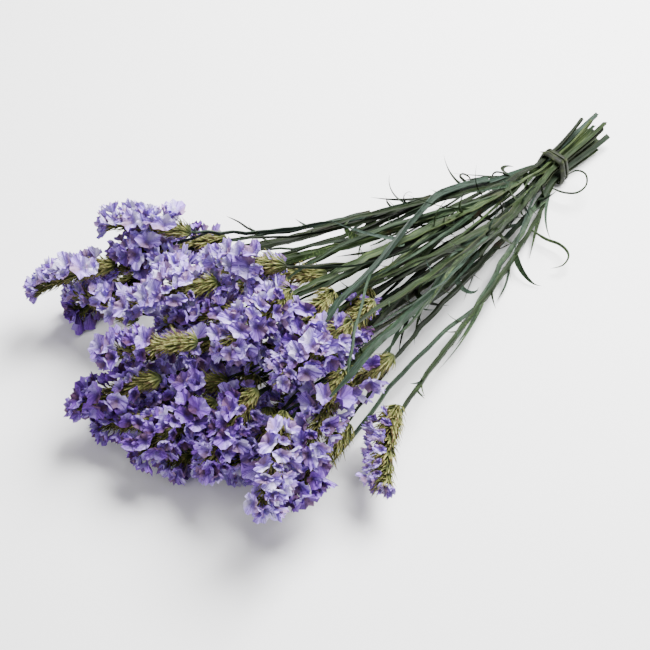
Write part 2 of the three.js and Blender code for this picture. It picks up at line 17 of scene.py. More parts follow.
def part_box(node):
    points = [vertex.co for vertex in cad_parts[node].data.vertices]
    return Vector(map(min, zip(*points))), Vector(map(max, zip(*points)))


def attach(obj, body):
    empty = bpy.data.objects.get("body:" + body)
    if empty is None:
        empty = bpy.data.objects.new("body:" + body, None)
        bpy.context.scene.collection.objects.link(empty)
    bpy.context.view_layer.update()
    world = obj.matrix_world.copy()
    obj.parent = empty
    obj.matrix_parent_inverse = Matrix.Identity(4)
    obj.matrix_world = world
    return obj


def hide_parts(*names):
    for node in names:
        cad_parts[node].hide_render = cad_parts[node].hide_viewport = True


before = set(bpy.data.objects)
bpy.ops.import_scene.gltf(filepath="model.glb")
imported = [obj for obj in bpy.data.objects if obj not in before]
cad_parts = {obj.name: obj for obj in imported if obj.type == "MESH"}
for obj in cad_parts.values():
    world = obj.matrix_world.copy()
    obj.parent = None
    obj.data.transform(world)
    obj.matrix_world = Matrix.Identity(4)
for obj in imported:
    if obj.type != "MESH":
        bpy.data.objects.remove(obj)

bpy.context.view_layer.update()
MM = 0.001

# %% [markdown]
# ## Camera, table and light
#
# The camera comes first, so that each later step can be looked at. It stands well above the bunch and looks
# down its length from the side of the heads. Its place could be three numbers found by trial, but two
# angles and a distance are easier to change, as if one walked round the table with it. A big soft light
# above and behind gives the florets their pale edges, and a pale world fills in the shade between the stems.

# %% Camera
VIEW = {"turn": -37, "height": 52, "distance": 0.9, "lens": 79.73}  # degrees, metres and millimetres
LOOK_AT = Vector((-0.0575, -0.0103, 0.030))


def unit(v):
    """A vector or array of the same direction, one long."""
    return v / np.linalg.norm(v)


def away(turn, height):
    """The direction from the bunch to a camera or a light: round the table, then above it."""
    a, e = math.radians(turn), math.radians(height)
    return Vector((math.sin(a) * math.cos(e), -math.cos(a) * math.cos(e), math.sin(e)))


camera = bpy.data.objects.new("camera", bpy.data.cameras.new("camera"))
camera.data.lens = VIEW["lens"]
camera.location = LOOK_AT + away(VIEW["turn"], VIEW["height"]) * VIEW["distance"]
camera.rotation_euler = (LOOK_AT - camera.location).to_track_quat("-Z", "Y").to_euler()
bpy.context.scene.collection.objects.link(camera)
bpy.context.scene.camera = camera
print("camera at", [round(v, 3) for v in camera.location])

# %% Table and lights
# Degrees round the bunch and above it, metres away and across, and watts.
LIGHTS = {
    "key": {"turn": 100, "height": 56, "far": 1.2, "size": 0.8, "power": 83},
    "fill": {"turn": -80, "height": 45, "far": 1.3, "size": 1.2, "power": 4},
}
WORLD_LIGHT = 0.41
TABLE = {"size": 30, "top": -0.0004, "grey": 0.93, "roughness": 0.9}  # its top is just below the bunch


def hang_light(name, turn, height, far, size, power):
    """A square soft light that faces the bunch from a distance."""
    lamp = bpy.data.objects.new(name, bpy.data.lights.new(name, "AREA"))
    lamp.data.size = size
    lamp.data.energy = power
    lamp.location = LOOK_AT + away(turn, height) * far
    lamp.rotation_euler = (LOOK_AT - lamp.location).to_track_quat("-Z", "Y").to_euler()
    bpy.context.scene.collection.objects.link(lamp)
    return lamp


for name, settings in LIGHTS.items():
    hang_light(name, **settings)
world = bpy.data.worlds.new("studio")
world.use_nodes = True
world.node_tree.nodes["Background"].inputs["Color"].default_value = (1, 1, 1, 1)
world.node_tree.nodes["Background"].inputs["Strength"].default_value = WORLD_LIGHT
bpy.context.scene.world = world


def deselect():
    """Back to object mode, with nothing selected."""
    if bpy.context.mode != "OBJECT":
        bpy.ops.object.mode_set(mode="OBJECT")
    bpy.ops.object.select_all(action="DESELECT")


deselect()
bpy.ops.mesh.primitive_plane_add(size=TABLE["size"], location=(0, 0, TABLE["top"]))
table = bpy.context.object
table.name = "table"
white = bpy.data.materials.new("white_table")
white.use_nodes = True
white.node_tree.nodes["Principled BSDF"].inputs["Base Color"].default_value = (*[TABLE["grey"]] * 3, 1)
white.node_tree.nodes["Principled BSDF"].inputs["Roughness"].default_value = TABLE["roughness"]
table.data.materials.append(white)
bpy.ops.object.transform_apply(location=True)
print("lights:", ", ".join(LIGHTS))

# %% [markdown]
# ## How the stems run
#
# The bunch is laid out once, as strings of beads, in millimetres. Each stem has a trunk that runs from its
# cut end through the band to its leading spike of florets, and branches that leave it for the other
# spikes. The beads could be placed one by one, but stems lie against each other as they please. So the
# strings start from a few given places, and then settle: beads that are too close push each other
# apart, and each string evens out its kinks. The imported model was made by the same steps, so every piece
# comes out where its solid lies.

# %% Driving dimensions of the bunch
TIE_AT = np.array([167.0, -4.0])  # the band's middle
TIE_TURN = 10  # degrees that the tied end swings by
ROWS = [4, 4, 3, 3]  # stems in each layer at the band, from the bottom up
STEM_PITCH, LAYER_RISE = 5, 4.3
TIED_RADIUS = 2.25
TIE_STRAIGHT = 7
BAND = {"wall": 1.4, "width": 3, "turns": 3}
CLEARANCE = 0.35
CUT_END = {"reach": 50, "uneven": 11, "splay": 1.3, "spread": 1.5, "sink": 3.4, "lift": 3, "floor": 3.2}
TRUNK_CURVE = {"leave": 0.3, "fanned": 0.5, "risen": 0.3, "arrive": 0.24, "sag": 4}
BRANCH_CURVE = {"leave": 0.4, "arrive": 0.3, "uneven": 0.05}

# Where each stem's leading spike begins (x, y, z), its heading from -X towards +Y and its pitch above
# level in degrees, the number of spikes, the hand that its other spikes lie to, and the degrees that its
# florets have rolled round their axes.
HEADS = [
    (-150, 74, 46, 40, -6, 3, 1, 0),
    (-106, 56, 68, 62, 0, 3, 1, 20),
    (-82, -16, 78, 56, -10, 2, -1, -40),
    (-118, 10, 72, 27, -10, 3, 1, 0),
    (-150, -14, 64, 28, -10, 3, -1, 0),
    (-174, -12, 40, 34, -10, 3, 1, 0),
    (-94, -38, 86, -10, -4, 3, -1, 0),
    (-157, -44, 34, 14, -10, 3, 1, 0),
    (-138, -66, 50, -17, -16, 3, -1, 0),
    (-134, -102, 62, -34, -20, 3, 1, 0),
    (-80, -76, 84, -10, -4, 3, -1, 0),
    (-52, -66, 66, 0, 0, 2, -1, 0),
    (-94, -92, 58, -34, -10, 1, 1, 0),
    (-65, -115, 26, -39, -8, 1, 1, 130),
]
SPIKE_FAN = [
    {"back": 0, "side": 0, "drop": 0, "turn": 0, "leave": 1},
    {"back": 14, "side": 20, "drop": 12, "turn": 20, "leave": 0.25},
    {"back": 14, "side": -18, "drop": 24, "turn": -22, "leave": 0.45},
]
SPIKE_VARIES = {"turn": 9, "pitch": 8, "dip": 3, "floor": 14}
SPIKE_LENGTH, SPIKE_ARCH = 44, 6
BUNCH_CORE = {"y": -20, "z": 34}
FACING = {"back": -0.15, "across_y": 100, "across_z": 40, "lift": 0.3, "roll": 38}
SETTLE = {"rounds": 110, "step": 9, "push": 0.3, "homing": 0.03, "even": 0.35, "spike_beads": 4}
FLOOR = {"spike": 10.5, "strand": 0.6}
REACH = {"spike": 9.5, "trunk": 3.5, "branch": 2.6, "tied": 2.45, "tied_from": 30, "spike_to_stem": 8}
print("stems:", len(HEADS), "spikes:", sum(head[5] for head in HEADS))


# %% Small helpers
def vary(n):
    """A number from -1 to 1 that depends only on n."""
    v = math.sin(n * 12.9898 + 4.1414) * 43758.5453
    return 2 * (v - math.floor(v)) - 1


def heading_of(turn, pitch):
    """A unit heading: degrees from -X towards +Y, then degrees above level."""
    t, p = math.radians(turn), math.radians(pitch)
    return np.array([-math.cos(t) * math.cos(p), math.sin(t) * math.cos(p), math.sin(p)])


def mix(a, b, share):
    return a + (b - a) * share


def smooth(value, low, high):
    """0 below low, 1 above high, and an even S-curve between."""
    t = np.clip((value - low) / (high - low), 0, 1)
    return t * t * (3 - 2 * t)


def bezier(points, t):
    p0, p1, p2, p3 = points
    s = 1 - t
    return s**3 * p0 + 3 * s * s * t * p1 + 3 * s * t * t * p2 + t**3 * p3


def bezier_beads(*points):
    """Beads along a Bezier curve, about one step apart."""
    fine = np.array([bezier(points, k / 200) for k in range(201)])
    length = np.linalg.norm(np.diff(fine, axis=0), axis=1).sum()
    count = max(3, math.floor(length / SETTLE["step"] + 0.5))
    return np.array([bezier(points, k / count) for k in range(count + 1)])


print("the first numbers that vary gives:", [round(vary(n), 2) for n in range(4)])

# %% The places of the stems in the band
TIE_ALONG = np.array([math.cos(math.radians(TIE_TURN)), math.sin(math.radians(TIE_TURN)), 0])
TIE_ACROSS = np.array([-TIE_ALONG[1], TIE_ALONG[0], 0])
LOWEST_LAYER = BAND["wall"] + CLEARANCE + TIED_RADIUS


def tie_slots():
    """Each stem's place in the bundle: across it and above the table."""
    by_height = sorted(range(len(HEADS)), key=lambda i: HEADS[i][2])
    slots = [None] * len(HEADS)
    for layer, count in enumerate(ROWS):
        row = sorted(by_height[:count], key=lambda i: HEADS[i][1])
        by_height = by_height[count:]
        for k, stem in enumerate(row):
            slots[stem] = ((k - (count - 1) / 2) * STEM_PITCH, LOWEST_LAYER + layer * LAYER_RISE)
    return slots


def slot_point(slot, along=0.0, splay=1.0):
    across, z = slot
    return np.array([*TIE_AT, z]) + TIE_ALONG * along + TIE_ACROSS * across * splay


slots = tie_slots()
print("lowest layer:", [i + 1 for i, slot in enumerate(slots) if slot[1] == LOWEST_LAYER])


# %% The strings of beads, before they settle
def trunk_line(i, base, heading):
    """A trunk's beads from its cut end to its spike, and how many of them the band holds."""
    slot = slots[i]
    end = slot_point(slot, CUT_END["reach"] + CUT_END["uneven"] * vary(i + 0.3), CUT_END["splay"])
    spread = slot[1] * CUT_END["spread"] - CUT_END["sink"] + CUT_END["lift"] * vary(i + 0.7)
    end[2] = max(CUT_END["floor"], spread)
    opening = slot_point(slot, 4 * TIE_STRAIGHT, CUT_END["splay"])
    enter = slot_point(slot, TIE_STRAIGHT)
    tied = slot_point(slot, -TIE_STRAIGHT)
    tail = bezier_beads(end, opening, slot_point(slot, 2 * TIE_STRAIGHT), enter)
    reach = np.linalg.norm(tied - base)
    leave = TRUNK_CURVE["leave"] * reach
    fan = tied + [
        -leave,
        -leave * TIE_ALONG[1] + TRUNK_CURVE["fanned"] * (base[1] - tied[1]),
        TRUNK_CURVE["risen"] * (base[2] - tied[2]),
    ]
    arrive = base - heading * TRUNK_CURVE["arrive"] * reach
    arrive[2] = base[2] - TRUNK_CURVE["sag"]
    beads = np.vstack([tail, slot_point(slot), bezier_beads(tied, fan, arrive, base)])
    return beads, len(tail) + 2


def spike_start(i, k):
    """Where spike k of stem i begins, and where it heads."""
    x, y, z, turn, pitch, _, hand, _ = HEADS[i]
    fan = SPIKE_FAN[k]
    heading = heading_of(
        turn + hand * fan["turn"] + SPIKE_VARIES["turn"] * vary(7 * i + k),
        pitch - fan["drop"] / SPIKE_VARIES["dip"] + SPIKE_VARIES["pitch"] * vary(11 * i + k),
    )
    lead = heading_of(turn, 0)
    side = np.array([-lead[1], lead[0], 0])
    base = np.array([x, y, z]) - lead * fan["back"] + side * hand * fan["side"]
    base[2] = max(SPIKE_VARIES["floor"], z - fan["drop"])
    return base, heading


def branch_line(trunk, held, share, base, heading):
    """The bead of the trunk that a branch leaves from, and the branch's own beads."""
    leave = math.floor(mix(held, len(trunk) - 1, share) + 0.5)
    start = trunk[leave]
    reach = np.linalg.norm(start - base)
    go = start + unit(trunk[leave + 1] - start) * BRANCH_CURVE["leave"] * reach
    arrive = base - heading * BRANCH_CURVE["arrive"] * reach
    return leave, bezier_beads(start, go, arrive, base)


def starting_stem(i):
    starts = [spike_start(i, k) for k in range(HEADS[i][5])]
    trunk, held = trunk_line(i, *starts[0])
    branches = []
    for k, start in enumerate(starts[1:]):
        share = SPIKE_FAN[k + 1]["leave"] + BRANCH_CURVE["uneven"] * vary(5 * i + k)
        branches.append(branch_line(trunk, held, share, *start))
    beads = SETTLE["spike_beads"]
    spikes = [
        np.array([base + heading * SPIKE_LENGTH * n / (beads - 1) for n in range(beads)])
        for base, heading in starts
    ]
    return {"trunk": trunk, "held": held, "branches": branches, "spikes": spikes}


stems = [starting_stem(i) for i in range(len(HEADS))]
print("beads:", sum(len(s["trunk"]) + sum(len(b) for _, b in s["branches"]) for s in stems))

# %% [markdown]
# ### Settling
#
# All the beads go into one long array, and each string keeps a view of its own part of it. One round finds
# every pair of beads that are closer than they should be, pushes both of them back by a share of what is
# missing, and then draws each string smooth. The held beads in the band go back to their places after
# each round.


# %% One array for all beads
def gather(stems):
    """The array of all beads, and arrays of their stems, kinds and spikes. The strings become views."""
    strings, facts = [], []
    for i, stem in enumerate(stems):
        own = [("trunk", 0, stem["trunk"])]
        own += [("branch", 0, beads) for _, beads in stem["branches"]]
        own += [("spike", k + 1, beads) for k, beads in enumerate(stem["spikes"])]
        for kind, spike, beads in own:
            strings.append(beads)
            facts += [(i, kind, spike)] * len(beads)
    at = np.vstack(strings)
    views = np.split(at, np.cumsum([len(s) for s in strings])[:-1])
    for stem in stems:
        stem["trunk"] = views.pop(0)
        stem["branches"] = [(leave, views.pop(0)) for leave, _ in stem["branches"]]
        stem["spikes"] = [views.pop(0) for _ in stem["spikes"]]
    return at, *[np.array(column) for column in zip(*facts)]


at, stem_of, kind_of, spike_of = gather(stems)
is_spike = kind_of == "spike"
plain_reach = np.array([REACH[kind] for kind in kind_of])
other_stem = stem_of[:, None] != stem_of[None, :]
other_spike = (is_spike[:, None] & is_spike[None, :]) & (spike_of[:, None] != spike_of[None, :])
may_meet = np.triu(other_stem | other_spike, 1)
print("beads in all:", len(at))


# %% The rounds
def reach_of(at):
    """How much room each bead needs. A trunk is drawn in where it is tied."""
    tied = (kind_of == "trunk") & (at[:, 0] > TIE_AT[0] - REACH["tied_from"])
    return np.where(tied, REACH["tied"], plain_reach)


def push_apart(at, home):
    reach = reach_of(at)
    one_spike = is_spike[:, None] != is_spike[None, :]
    mixed = REACH["spike_to_stem"] + np.minimum(reach[:, None], reach[None, :])
    need = np.where(one_spike, mixed, reach[:, None] + reach[None, :])
    square = (at * at).sum(1)
    near = square[:, None] + square[None, :] - 2 * at @ at.T < need * need + 0.01
    m, n = np.nonzero(may_meet & near)
    apart = at[m] - at[n]
    gap = np.linalg.norm(apart, axis=1)
    short = np.maximum(need[m, n] - gap, 0)
    apart *= (SETTLE["push"] * short / gap)[:, None]
    np.add.at(at, m, apart)
    np.add.at(at, n, -apart)
    at[is_spike] += (home[is_spike] - at[is_spike]) * SETTLE["homing"]
    lowest = np.where(is_spike, FLOOR["spike"], reach_of(at) + FLOOR["strand"])
    at[:, 2] = np.maximum(at[:, 2], lowest)


def straighten(points):
    """A spike's beads go back to a straight, evenly spaced row."""
    middle = points.mean(0)
    along = unit(points[-1] - points[0])
    shares = np.arange(len(points)) / (len(points) - 1) - 0.5
    points[:] = middle + along * SPIKE_LENGTH * shares[:, None]


def even_out(points, first, end):
    """A string keeps its end and evens out its kinks, from its bead `first` on."""
    points[-1] = end
    middles = (points[first - 1 : -2] + points[first + 1 :]) / 2
    points[first:-1] += (middles - points[first:-1]) * SETTLE["even"]


def settle(at, stems):
    home = at.copy()
    held = [stem["trunk"][: stem["held"]].copy() for stem in stems]
    for _ in range(SETTLE["rounds"]):
        push_apart(at, home)
        for stem, kept in zip(stems, held):
            for points in stem["spikes"]:
                straighten(points)
            trunk = stem["trunk"]
            even_out(trunk, stem["held"], stem["spikes"][0][0])
            trunk[: stem["held"]] = kept
            for (leave, beads), points in zip(stem["branches"], stem["spikes"][1:]):
                beads[0] = trunk[leave]
                even_out(beads, 1, points[0])


settle(at, stems)
print("highest bead:", round(at[:, 2].max(), 1), "mm")


# %% The spikes' own frames
def turned(v, axis, degrees):
    """A vector turned about a unit axis."""
    a = math.radians(degrees)
    return v * math.cos(a) + np.cross(axis, v) * math.sin(a) + axis * axis.dot(v) * (1 - math.cos(a))


class Spike:
    """One spike of florets. `out` is the side that its florets face, away from the bunch's middle."""

    def __init__(self, points, i, k):
        self.base, self.length = points[0].copy(), SPIKE_LENGTH
        self.along = unit(points[-1] - self.base)
        middle = self.base + self.along * SPIKE_LENGTH / 2
        across = (middle[1] - BUNCH_CORE["y"]) / FACING["across_y"]
        lift = (middle[2] - BUNCH_CORE["z"]) / FACING["across_z"] + FACING["lift"]
        out = np.array([FACING["back"], across, lift])
        out = unit(out - self.along * out.dot(self.along))
        self.out = turned(out, self.along, HEADS[i][7] + FACING["roll"] * vary(13 * i + 3 * k + 0.5))
        self.side = np.cross(self.out, self.along)

    def point(self, t, out=0.0, side=0.0):
        """A point at share t of the arched rachis, then out towards the florets, and to the side."""
        rise = out - SPIKE_ARCH * t * t
        return self.base + self.along * self.length * t + self.out * rise + self.side * side

    def radial(self, roll):
        """The direction away from the axis, rolled round it from `out` by some degrees."""
        a = math.radians(roll)
        return self.out * math.cos(a) + self.side * math.sin(a)


for i, stem in enumerate(stems):
    stem["spikes"] = [Spike(points, i, k) for k, points in enumerate(stem["spikes"])]
band_low, band_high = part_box("band")
shift = np.array([*(np.array((band_low + band_high) / 2)[:2] / MM - TIE_AT), 0.0])
print("the packed frame lies", shift.round(3), "mm from the layout")

# %% [markdown]
# ## Finishes
#
# Four surfaces matter: the ribbed grey-green stems, the olive bracts, the papery florets and the dusty
# elastic, whose dark mottling is painted shade. Each could be one flat colour, but dried plants are never
# even, so each finish mixes its colours from what is known about a point: how far out on a floret it lies,
# how near a wing's edge, how old its piece looks, and how pale its spike is, which on the higher spikes is
# painted light from above. The models carry those numbers as attributes and as a UV map. The small class
# below lets a finish be written as sums: a number in the shader can be added to, multiplied and compared,
# and each sum adds its node.


# %% Numbers in a shader
class Value:
    """A number or colour that varies over a surface. Sums with it add Math nodes to its finish."""

    def __init__(self, finish, socket):
        self.finish, self.socket = finish, socket

    def math(self, operation, *terms):
        return self.finish.node("ShaderNodeMath", {"operation": operation}, dict(enumerate(terms)))

    def __add__(self, other):
        return self.math("ADD", self, other)

    def __sub__(self, other):
        return self.math("SUBTRACT", self, other)

    def __rsub__(self, other):
        return self.math("SUBTRACT", other, self)

    def __mul__(self, other):
        return self.math("MULTIPLY", self, other)

    __radd__ = __add__
    __rmul__ = __mul__

    def between(self, low, high):
        """0 up to low, 1 from high on, and an even slope between."""
        inputs = {"Value": self, "From Min": low, "From Max": high}
        return self.finish.node("ShaderNodeMapRange", {"interpolation_type": "SMOOTHSTEP"}, inputs)


def paint(code, alpha=1.0):
    """A linear colour from a six-digit code such as #8f7fcf."""
    parts = [int(code[n : n + 2], 16) / 255 for n in (1, 3, 5)]
    return (*[p / 12.92 if p <= 0.04045 else ((p + 0.055) / 1.055) ** 2.4 for p in parts], alpha)


print("violet as a linear colour:", [round(part, 3) for part in paint("#8f7fcf")])


# %% Finishes and their nodes
class Finish:
    """A material with a Principled shader, and one method that adds any other node."""

    def __init__(self, name, **constants):
        self.material = bpy.data.materials.new(name)
        self.material.use_nodes = True
        self.tree = self.material.node_tree
        self.shader = self.tree.nodes["Principled BSDF"]
        for key, value in constants.items():
            self.shader.inputs[key.replace("_", " ")].default_value = value

    def node(self, kind, settings=None, inputs=None, output=0):
        """Adds a node: its settings first, then its sockets. Gives one of its outputs."""
        made = self.tree.nodes.new(kind)
        for name, value in (settings or {}).items():
            if name == "stops":
                self.set_stops(made.color_ramp, value)
            else:
                setattr(made, name, value)
        for key, value in (inputs or {}).items():
            self.feed(made.inputs[key], value)
        return Value(self, made.outputs[output])

    def set_stops(self, ramp, stops):
        while len(ramp.elements) < len(stops):
            ramp.elements.new(1.0)
        for element, (place, code) in zip(ramp.elements, stops):
            element.position = place
            element.color = paint(code)

    def feed(self, socket, value):
        if isinstance(value, Value):
            self.tree.links.new(value.socket, socket)
        else:
            socket.default_value = value

    def attribute(self, name):
        return self.node("ShaderNodeAttribute", {"attribute_name": name}, output="Fac")

    def coordinates(self, kind):
        return self.node("ShaderNodeTexCoord", output=kind)

    def split(self, vector):
        """The x and y of a vector."""
        axes = self.node("ShaderNodeSeparateXYZ", inputs={"Vector": vector})
        return axes, Value(self, axes.socket.node.outputs["Y"])

    def noise(self, vector, scale, detail=2.0):
        inputs = {"Vector": vector, "Scale": scale, "Detail": detail}
        return self.node("ShaderNodeTexNoise", inputs=inputs, output="Fac")

    def ramp(self, value, stops):
        return self.node("ShaderNodeValToRGB", {"stops": stops}, {"Fac": value})

    def blend(self, share, a, b):
        """Colour a where the share is 0, b where it is 1."""
        inputs = {0: share, 6: a, 7: b}
        return self.node("ShaderNodeMix", {"data_type": "RGBA"}, inputs, output=2)

    def bump(self, height, distance, strength=1.0):
        inputs = {"Height": height, "Distance": distance, "Strength": strength}
        normal = self.node("ShaderNodeBump", inputs=inputs)
        self.feed(self.shader.inputs["Normal"], normal)

    def dress(self, **varying):
        for key, value in varying.items():
            self.feed(self.shader.inputs[key.replace("_", " ")], value)
        return self.material


# %% [markdown]
# ### Stems and leaves
#
# Fresh statice stems are winged and bright green. Dried, they turn a dull grey green, each a little
# different, with fine ribs along their length, paler edges to the wings and a reddish tint where branches
# leave. Some keep a bluish, waxy bloom. The ribs are a noise that is stretched along the piece's own UV map.

# %% Stem finish
STEM_TONES = [(0.0, "#030700"), (0.3, "#0a1303"), (0.6, "#19250e"), (0.8, "#27361d"), (1.0, "#48562e")]
STEM_TINTS = {"bloom": paint("#34463e"), "edge": paint("#474d2e"), "fork": paint("#2a1a12")}
PITH_TONES = [(0.35, "#6f6343"), (0.65, "#b3a67c")]


def stem_finish():
    finish = Finish("dried_stem", Specular_IOR_Level=0.14)
    around, length = finish.split(finish.coordinates("UV"))
    stretched = finish.node("ShaderNodeCombineXYZ", inputs={"X": around * 26, "Y": length * 0.06})
    ribs = finish.noise(stretched, 1.0, 3.0)
    patches = finish.noise(finish.coordinates("Object"), 60.0, 3.0)
    tone = finish.attribute("tone") + (ribs - 0.5) * 1.3 + (patches - 0.5) * 0.6
    colour = finish.ramp(tone, STEM_TONES)
    bloom = finish.attribute("waxy") * ribs.between(0.2, 0.7) * 0.7
    colour = finish.blend(bloom, colour, STEM_TINTS["bloom"])
    edge = finish.attribute("edge").between(0.7, 1.0) * 0.3
    colour = finish.blend(edge, colour, STEM_TINTS["edge"])
    fork = finish.attribute("blush") * patches.between(0.35, 0.7) * 0.8
    colour = finish.blend(fork, colour, STEM_TINTS["fork"])
    finish.bump(ribs, 0.4 * MM, 1.0)
    return finish.dress(Base_Color=colour, Roughness=ribs * 0.3 + 0.42)


def pith_finish():
    finish = Finish("cut_pith", Roughness=0.9)
    specks = finish.noise(finish.coordinates("Object"), 1500.0)
    return finish.dress(Base_Color=finish.ramp(specks, PITH_TONES))


STEM, PITH = stem_finish(), pith_finish()
print("finishes:", STEM.name, PITH.name)

# %% [markdown]
# ### Bracts
#
# Round the feet of the florets sit small green bracts that end in hard, straw-coloured points. One green
# would do from afar, but close by the points are what shows, so the finish runs from olive at the foot to
# straw and brown at the tip.

# %% Bract finish
BRACT_TONES = [(0.0, "#12160a"), (0.35, "#323a18"), (0.7, "#5a602e"), (0.92, "#908c54"), (1.0, "#4a3820")]


def bract_finish():
    finish = Finish("dry_bract", Specular_IOR_Level=0.25)
    specks = finish.noise(finish.coordinates("Object"), 420.0, 3.0)
    age = finish.attribute("tone") * 0.35 + (specks - 0.5) * 0.5
    colour = finish.ramp(finish.attribute("reach") + age - 0.1, BRACT_TONES)
    finish.bump(specks, 0.2 * MM, 0.6)
    return finish.dress(Base_Color=colour, Roughness=specks * 0.3 + 0.55)


BRACT_SKIN = bract_finish()
print("finish:", BRACT_SKIN.name)

# %% [markdown]
# ### Papery florets
#
# What looks like a petal is a dry, papery funnel. It is violet, dull and pinkish in the throat, and bleached
# towards its frilled margin, with ribs that fan out from the foot. One ramp of colours would make all the
# florets alike, so there is a deep one and a pale one, and each floret's own tone mixes the two.

# %% Floret finish
DEEP = [(0.0, "#5a385a"), (0.16, "#502c72"), (0.5, "#6c3ca0"), (0.8, "#8c5ccc"), (1.0, "#b494f0")]
PALE = [(0.0, "#ac8cb0"), (0.16, "#aa88d8"), (0.5, "#ba9af8"), (0.8, "#c9b4ff"), (1.0, "#e6dcff")]
FLORET_TINTS = {"vein": paint("#4b2a80"), "foot": paint("#8c8748")}
RIBS = 24


def floret_finish():
    finish = Finish("papery_floret", Specular_IOR_Level=0.25)
    around, outward = finish.split(finish.coordinates("UV"))
    place = finish.coordinates("Object")
    crinkle = finish.noise(place, 700.0, 3.0)
    blotch = finish.noise(place, 90.0, 2.0)
    wave = around.math("SINE", around * (2 * math.pi * RIBS))
    rib = wave * 0.5 + 0.5
    out = outward + (crinkle - 0.5) * 0.3
    # a floret's tone holds its spike's paleness, which includes painted light on the higher spikes and
    # painted shade on some low ones
    tone = finish.attribute("tone") + (blotch - 0.5) * 0.7
    colour = finish.blend(tone.between(0.0, 1.0), finish.ramp(out, DEEP), finish.ramp(out, PALE))
    vein = rib.between(0.45, 1.0) * outward.between(0.0, 0.4) * (1 - outward.between(0.8, 1.0) * 0.7)
    colour = finish.blend(vein * 0.62, colour, FLORET_TINTS["vein"])
    colour = finish.blend(1 - outward.between(-0.5, 0.0), colour, FLORET_TINTS["foot"])
    finish.bump(crinkle * 0.5 + rib * 0.5, 0.5 * MM, 0.9)
    return finish.dress(Base_Color=colour, Roughness=crinkle * 0.25 + 0.6)


FLORET_SKIN = floret_finish()
print("finish:", FLORET_SKIN.name)

# %% [markdown]
# ## Stems
#
# A statice stem is a thin round core with thin wings along it, which twist as it dries. A round tube would
# read as wire. So the outline of the core and its wings is drawn once and swept along each strand's
# beads by a curve, whose points say how wide and how turned the outline is there. The curve is then made a
# mesh, because a finished piece keeps its shape in its own corners.

# %% The winged outline
WINGS = [(0, 3.4), (148, 3.1), (252, 2.3)]  # each wing's angle, and its reach from the middle
STEM_CORE = {"radius": 1.4, "root": 0.6, "edge": 0.26}  # half the thickness of a wing at its root and edge


def outline_object(name, points):
    """A closed outline for sweeping, from its corners in millimetres."""
    curve = bpy.data.curves.new(name, "CURVE")
    curve.dimensions = "2D"
    spline = curve.splines.new("POLY")
    spline.points.add(len(points) - 1)
    for corner, (x, y) in zip(spline.points, points):
        corner.co = (x * MM, y * MM, 0, 1)
    spline.use_cyclic_u = True
    made = bpy.data.objects.new(name, curve)
    bpy.context.scene.collection.objects.link(made)
    return made


def winged_outline():
    points = []
    for n, (turn, reach) in enumerate(WINGS):
        a = math.radians(turn)
        along, across = np.array([math.cos(a), math.sin(a)]), np.array([-math.sin(a), math.cos(a)])
        for side, far in ((-1, 0), (-1, 1), (1, 1), (1, 0)):
            half = STEM_CORE["edge"] if far else STEM_CORE["root"]
            points.append(along * (reach if far else STEM_CORE["radius"]) + across * side * half)
        following = WINGS[(n + 1) % len(WINGS)][0] + (360 if n + 1 == len(WINGS) else 0)
        valley = math.radians((turn + following) / 2)
        points.append(STEM_CORE["radius"] * np.array([math.cos(valley), math.sin(valley)]))
    return points


def leaf_outline():
    """A thin leaf's cut: one long to each side, and slightly folded along its middle."""
    return [(1, 0.28), (0.5, 0.24), (0, 0.12), (-0.5, 0.24), (-1, 0.28), (-0.5, 0.02), (0, -0.2), (0.5, 0.02)]


def rolled_outline():
    """A leaf that has rolled up as it dried is nearly round."""
    return [(math.cos(math.radians(a)), 0.65 * math.sin(math.radians(a))) for a in range(0, 360, 60)]


WINGED = outline_object("winged_outline", winged_outline())
LEAFLET = outline_object("leaf_outline", leaf_outline())
ROLLED = outline_object("rolled_outline", rolled_outline())
print("corners of the winged outline:", len(winged_outline()))


# %% Sweeping an outline along a line
def mark(mesh, name, values):
    """Writes a number for each vertex, which a finish reads by the same name."""
    field = mesh.attributes.get(name) or mesh.attributes.new(name, "FLOAT", "POINT")
    numbers = np.broadcast_to(values, len(mesh.vertices)).astype(np.float32)
    field.data.foreach_set("value", np.ascontiguousarray(numbers))


def corners_of(mesh):
    flat = np.zeros(len(mesh.vertices) * 3)
    mesh.vertices.foreach_get("co", flat)
    return flat.reshape(-1, 3)


def swept(points, widths, tilts, outline, ring=False):
    """A closed mesh piece: the outline swept along points in millimetres, or round a ring of them."""
    deselect()
    curve = bpy.data.curves.new("strand", "CURVE")
    curve.dimensions = "3D"
    curve.bevel_mode = "OBJECT"
    curve.bevel_object = outline
    curve.use_fill_caps = not ring
    spline = curve.splines.new("POLY")
    spline.use_cyclic_u = ring
    spline.points.add(len(points) - 1)
    for corner, place, width, tilt in zip(spline.points, (points + shift) * MM, widths, tilts):
        corner.co = (*place, 1)
        corner.radius = width
        corner.tilt = tilt
    piece = bpy.data.objects.new("strand", curve)
    bpy.context.scene.collection.objects.link(piece)
    piece.select_set(True)
    bpy.context.view_layer.objects.active = piece
    bpy.ops.object.convert(target="MESH")
    piece = bpy.context.object
    bpy.ops.object.mode_set(mode="EDIT")
    bpy.ops.mesh.select_all(action="SELECT")
    bpy.ops.mesh.remove_doubles(threshold=1e-6)
    bpy.ops.mesh.normals_make_consistent(inside=False)
    bpy.ops.object.mode_set(mode="OBJECT")
    stretch_map(piece.data, np.linalg.norm(np.diff(points, axis=0), axis=1).sum())
    return piece


def stretch_map(mesh, length):
    """The UV map's second number becomes millimetres along the line."""
    layer = mesh.uv_layers[0]
    flat = np.zeros(len(mesh.loops) * 2)
    layer.data.foreach_get("uv", flat)
    flat[1::2] *= length
    layer.data.foreach_set("uv", flat)


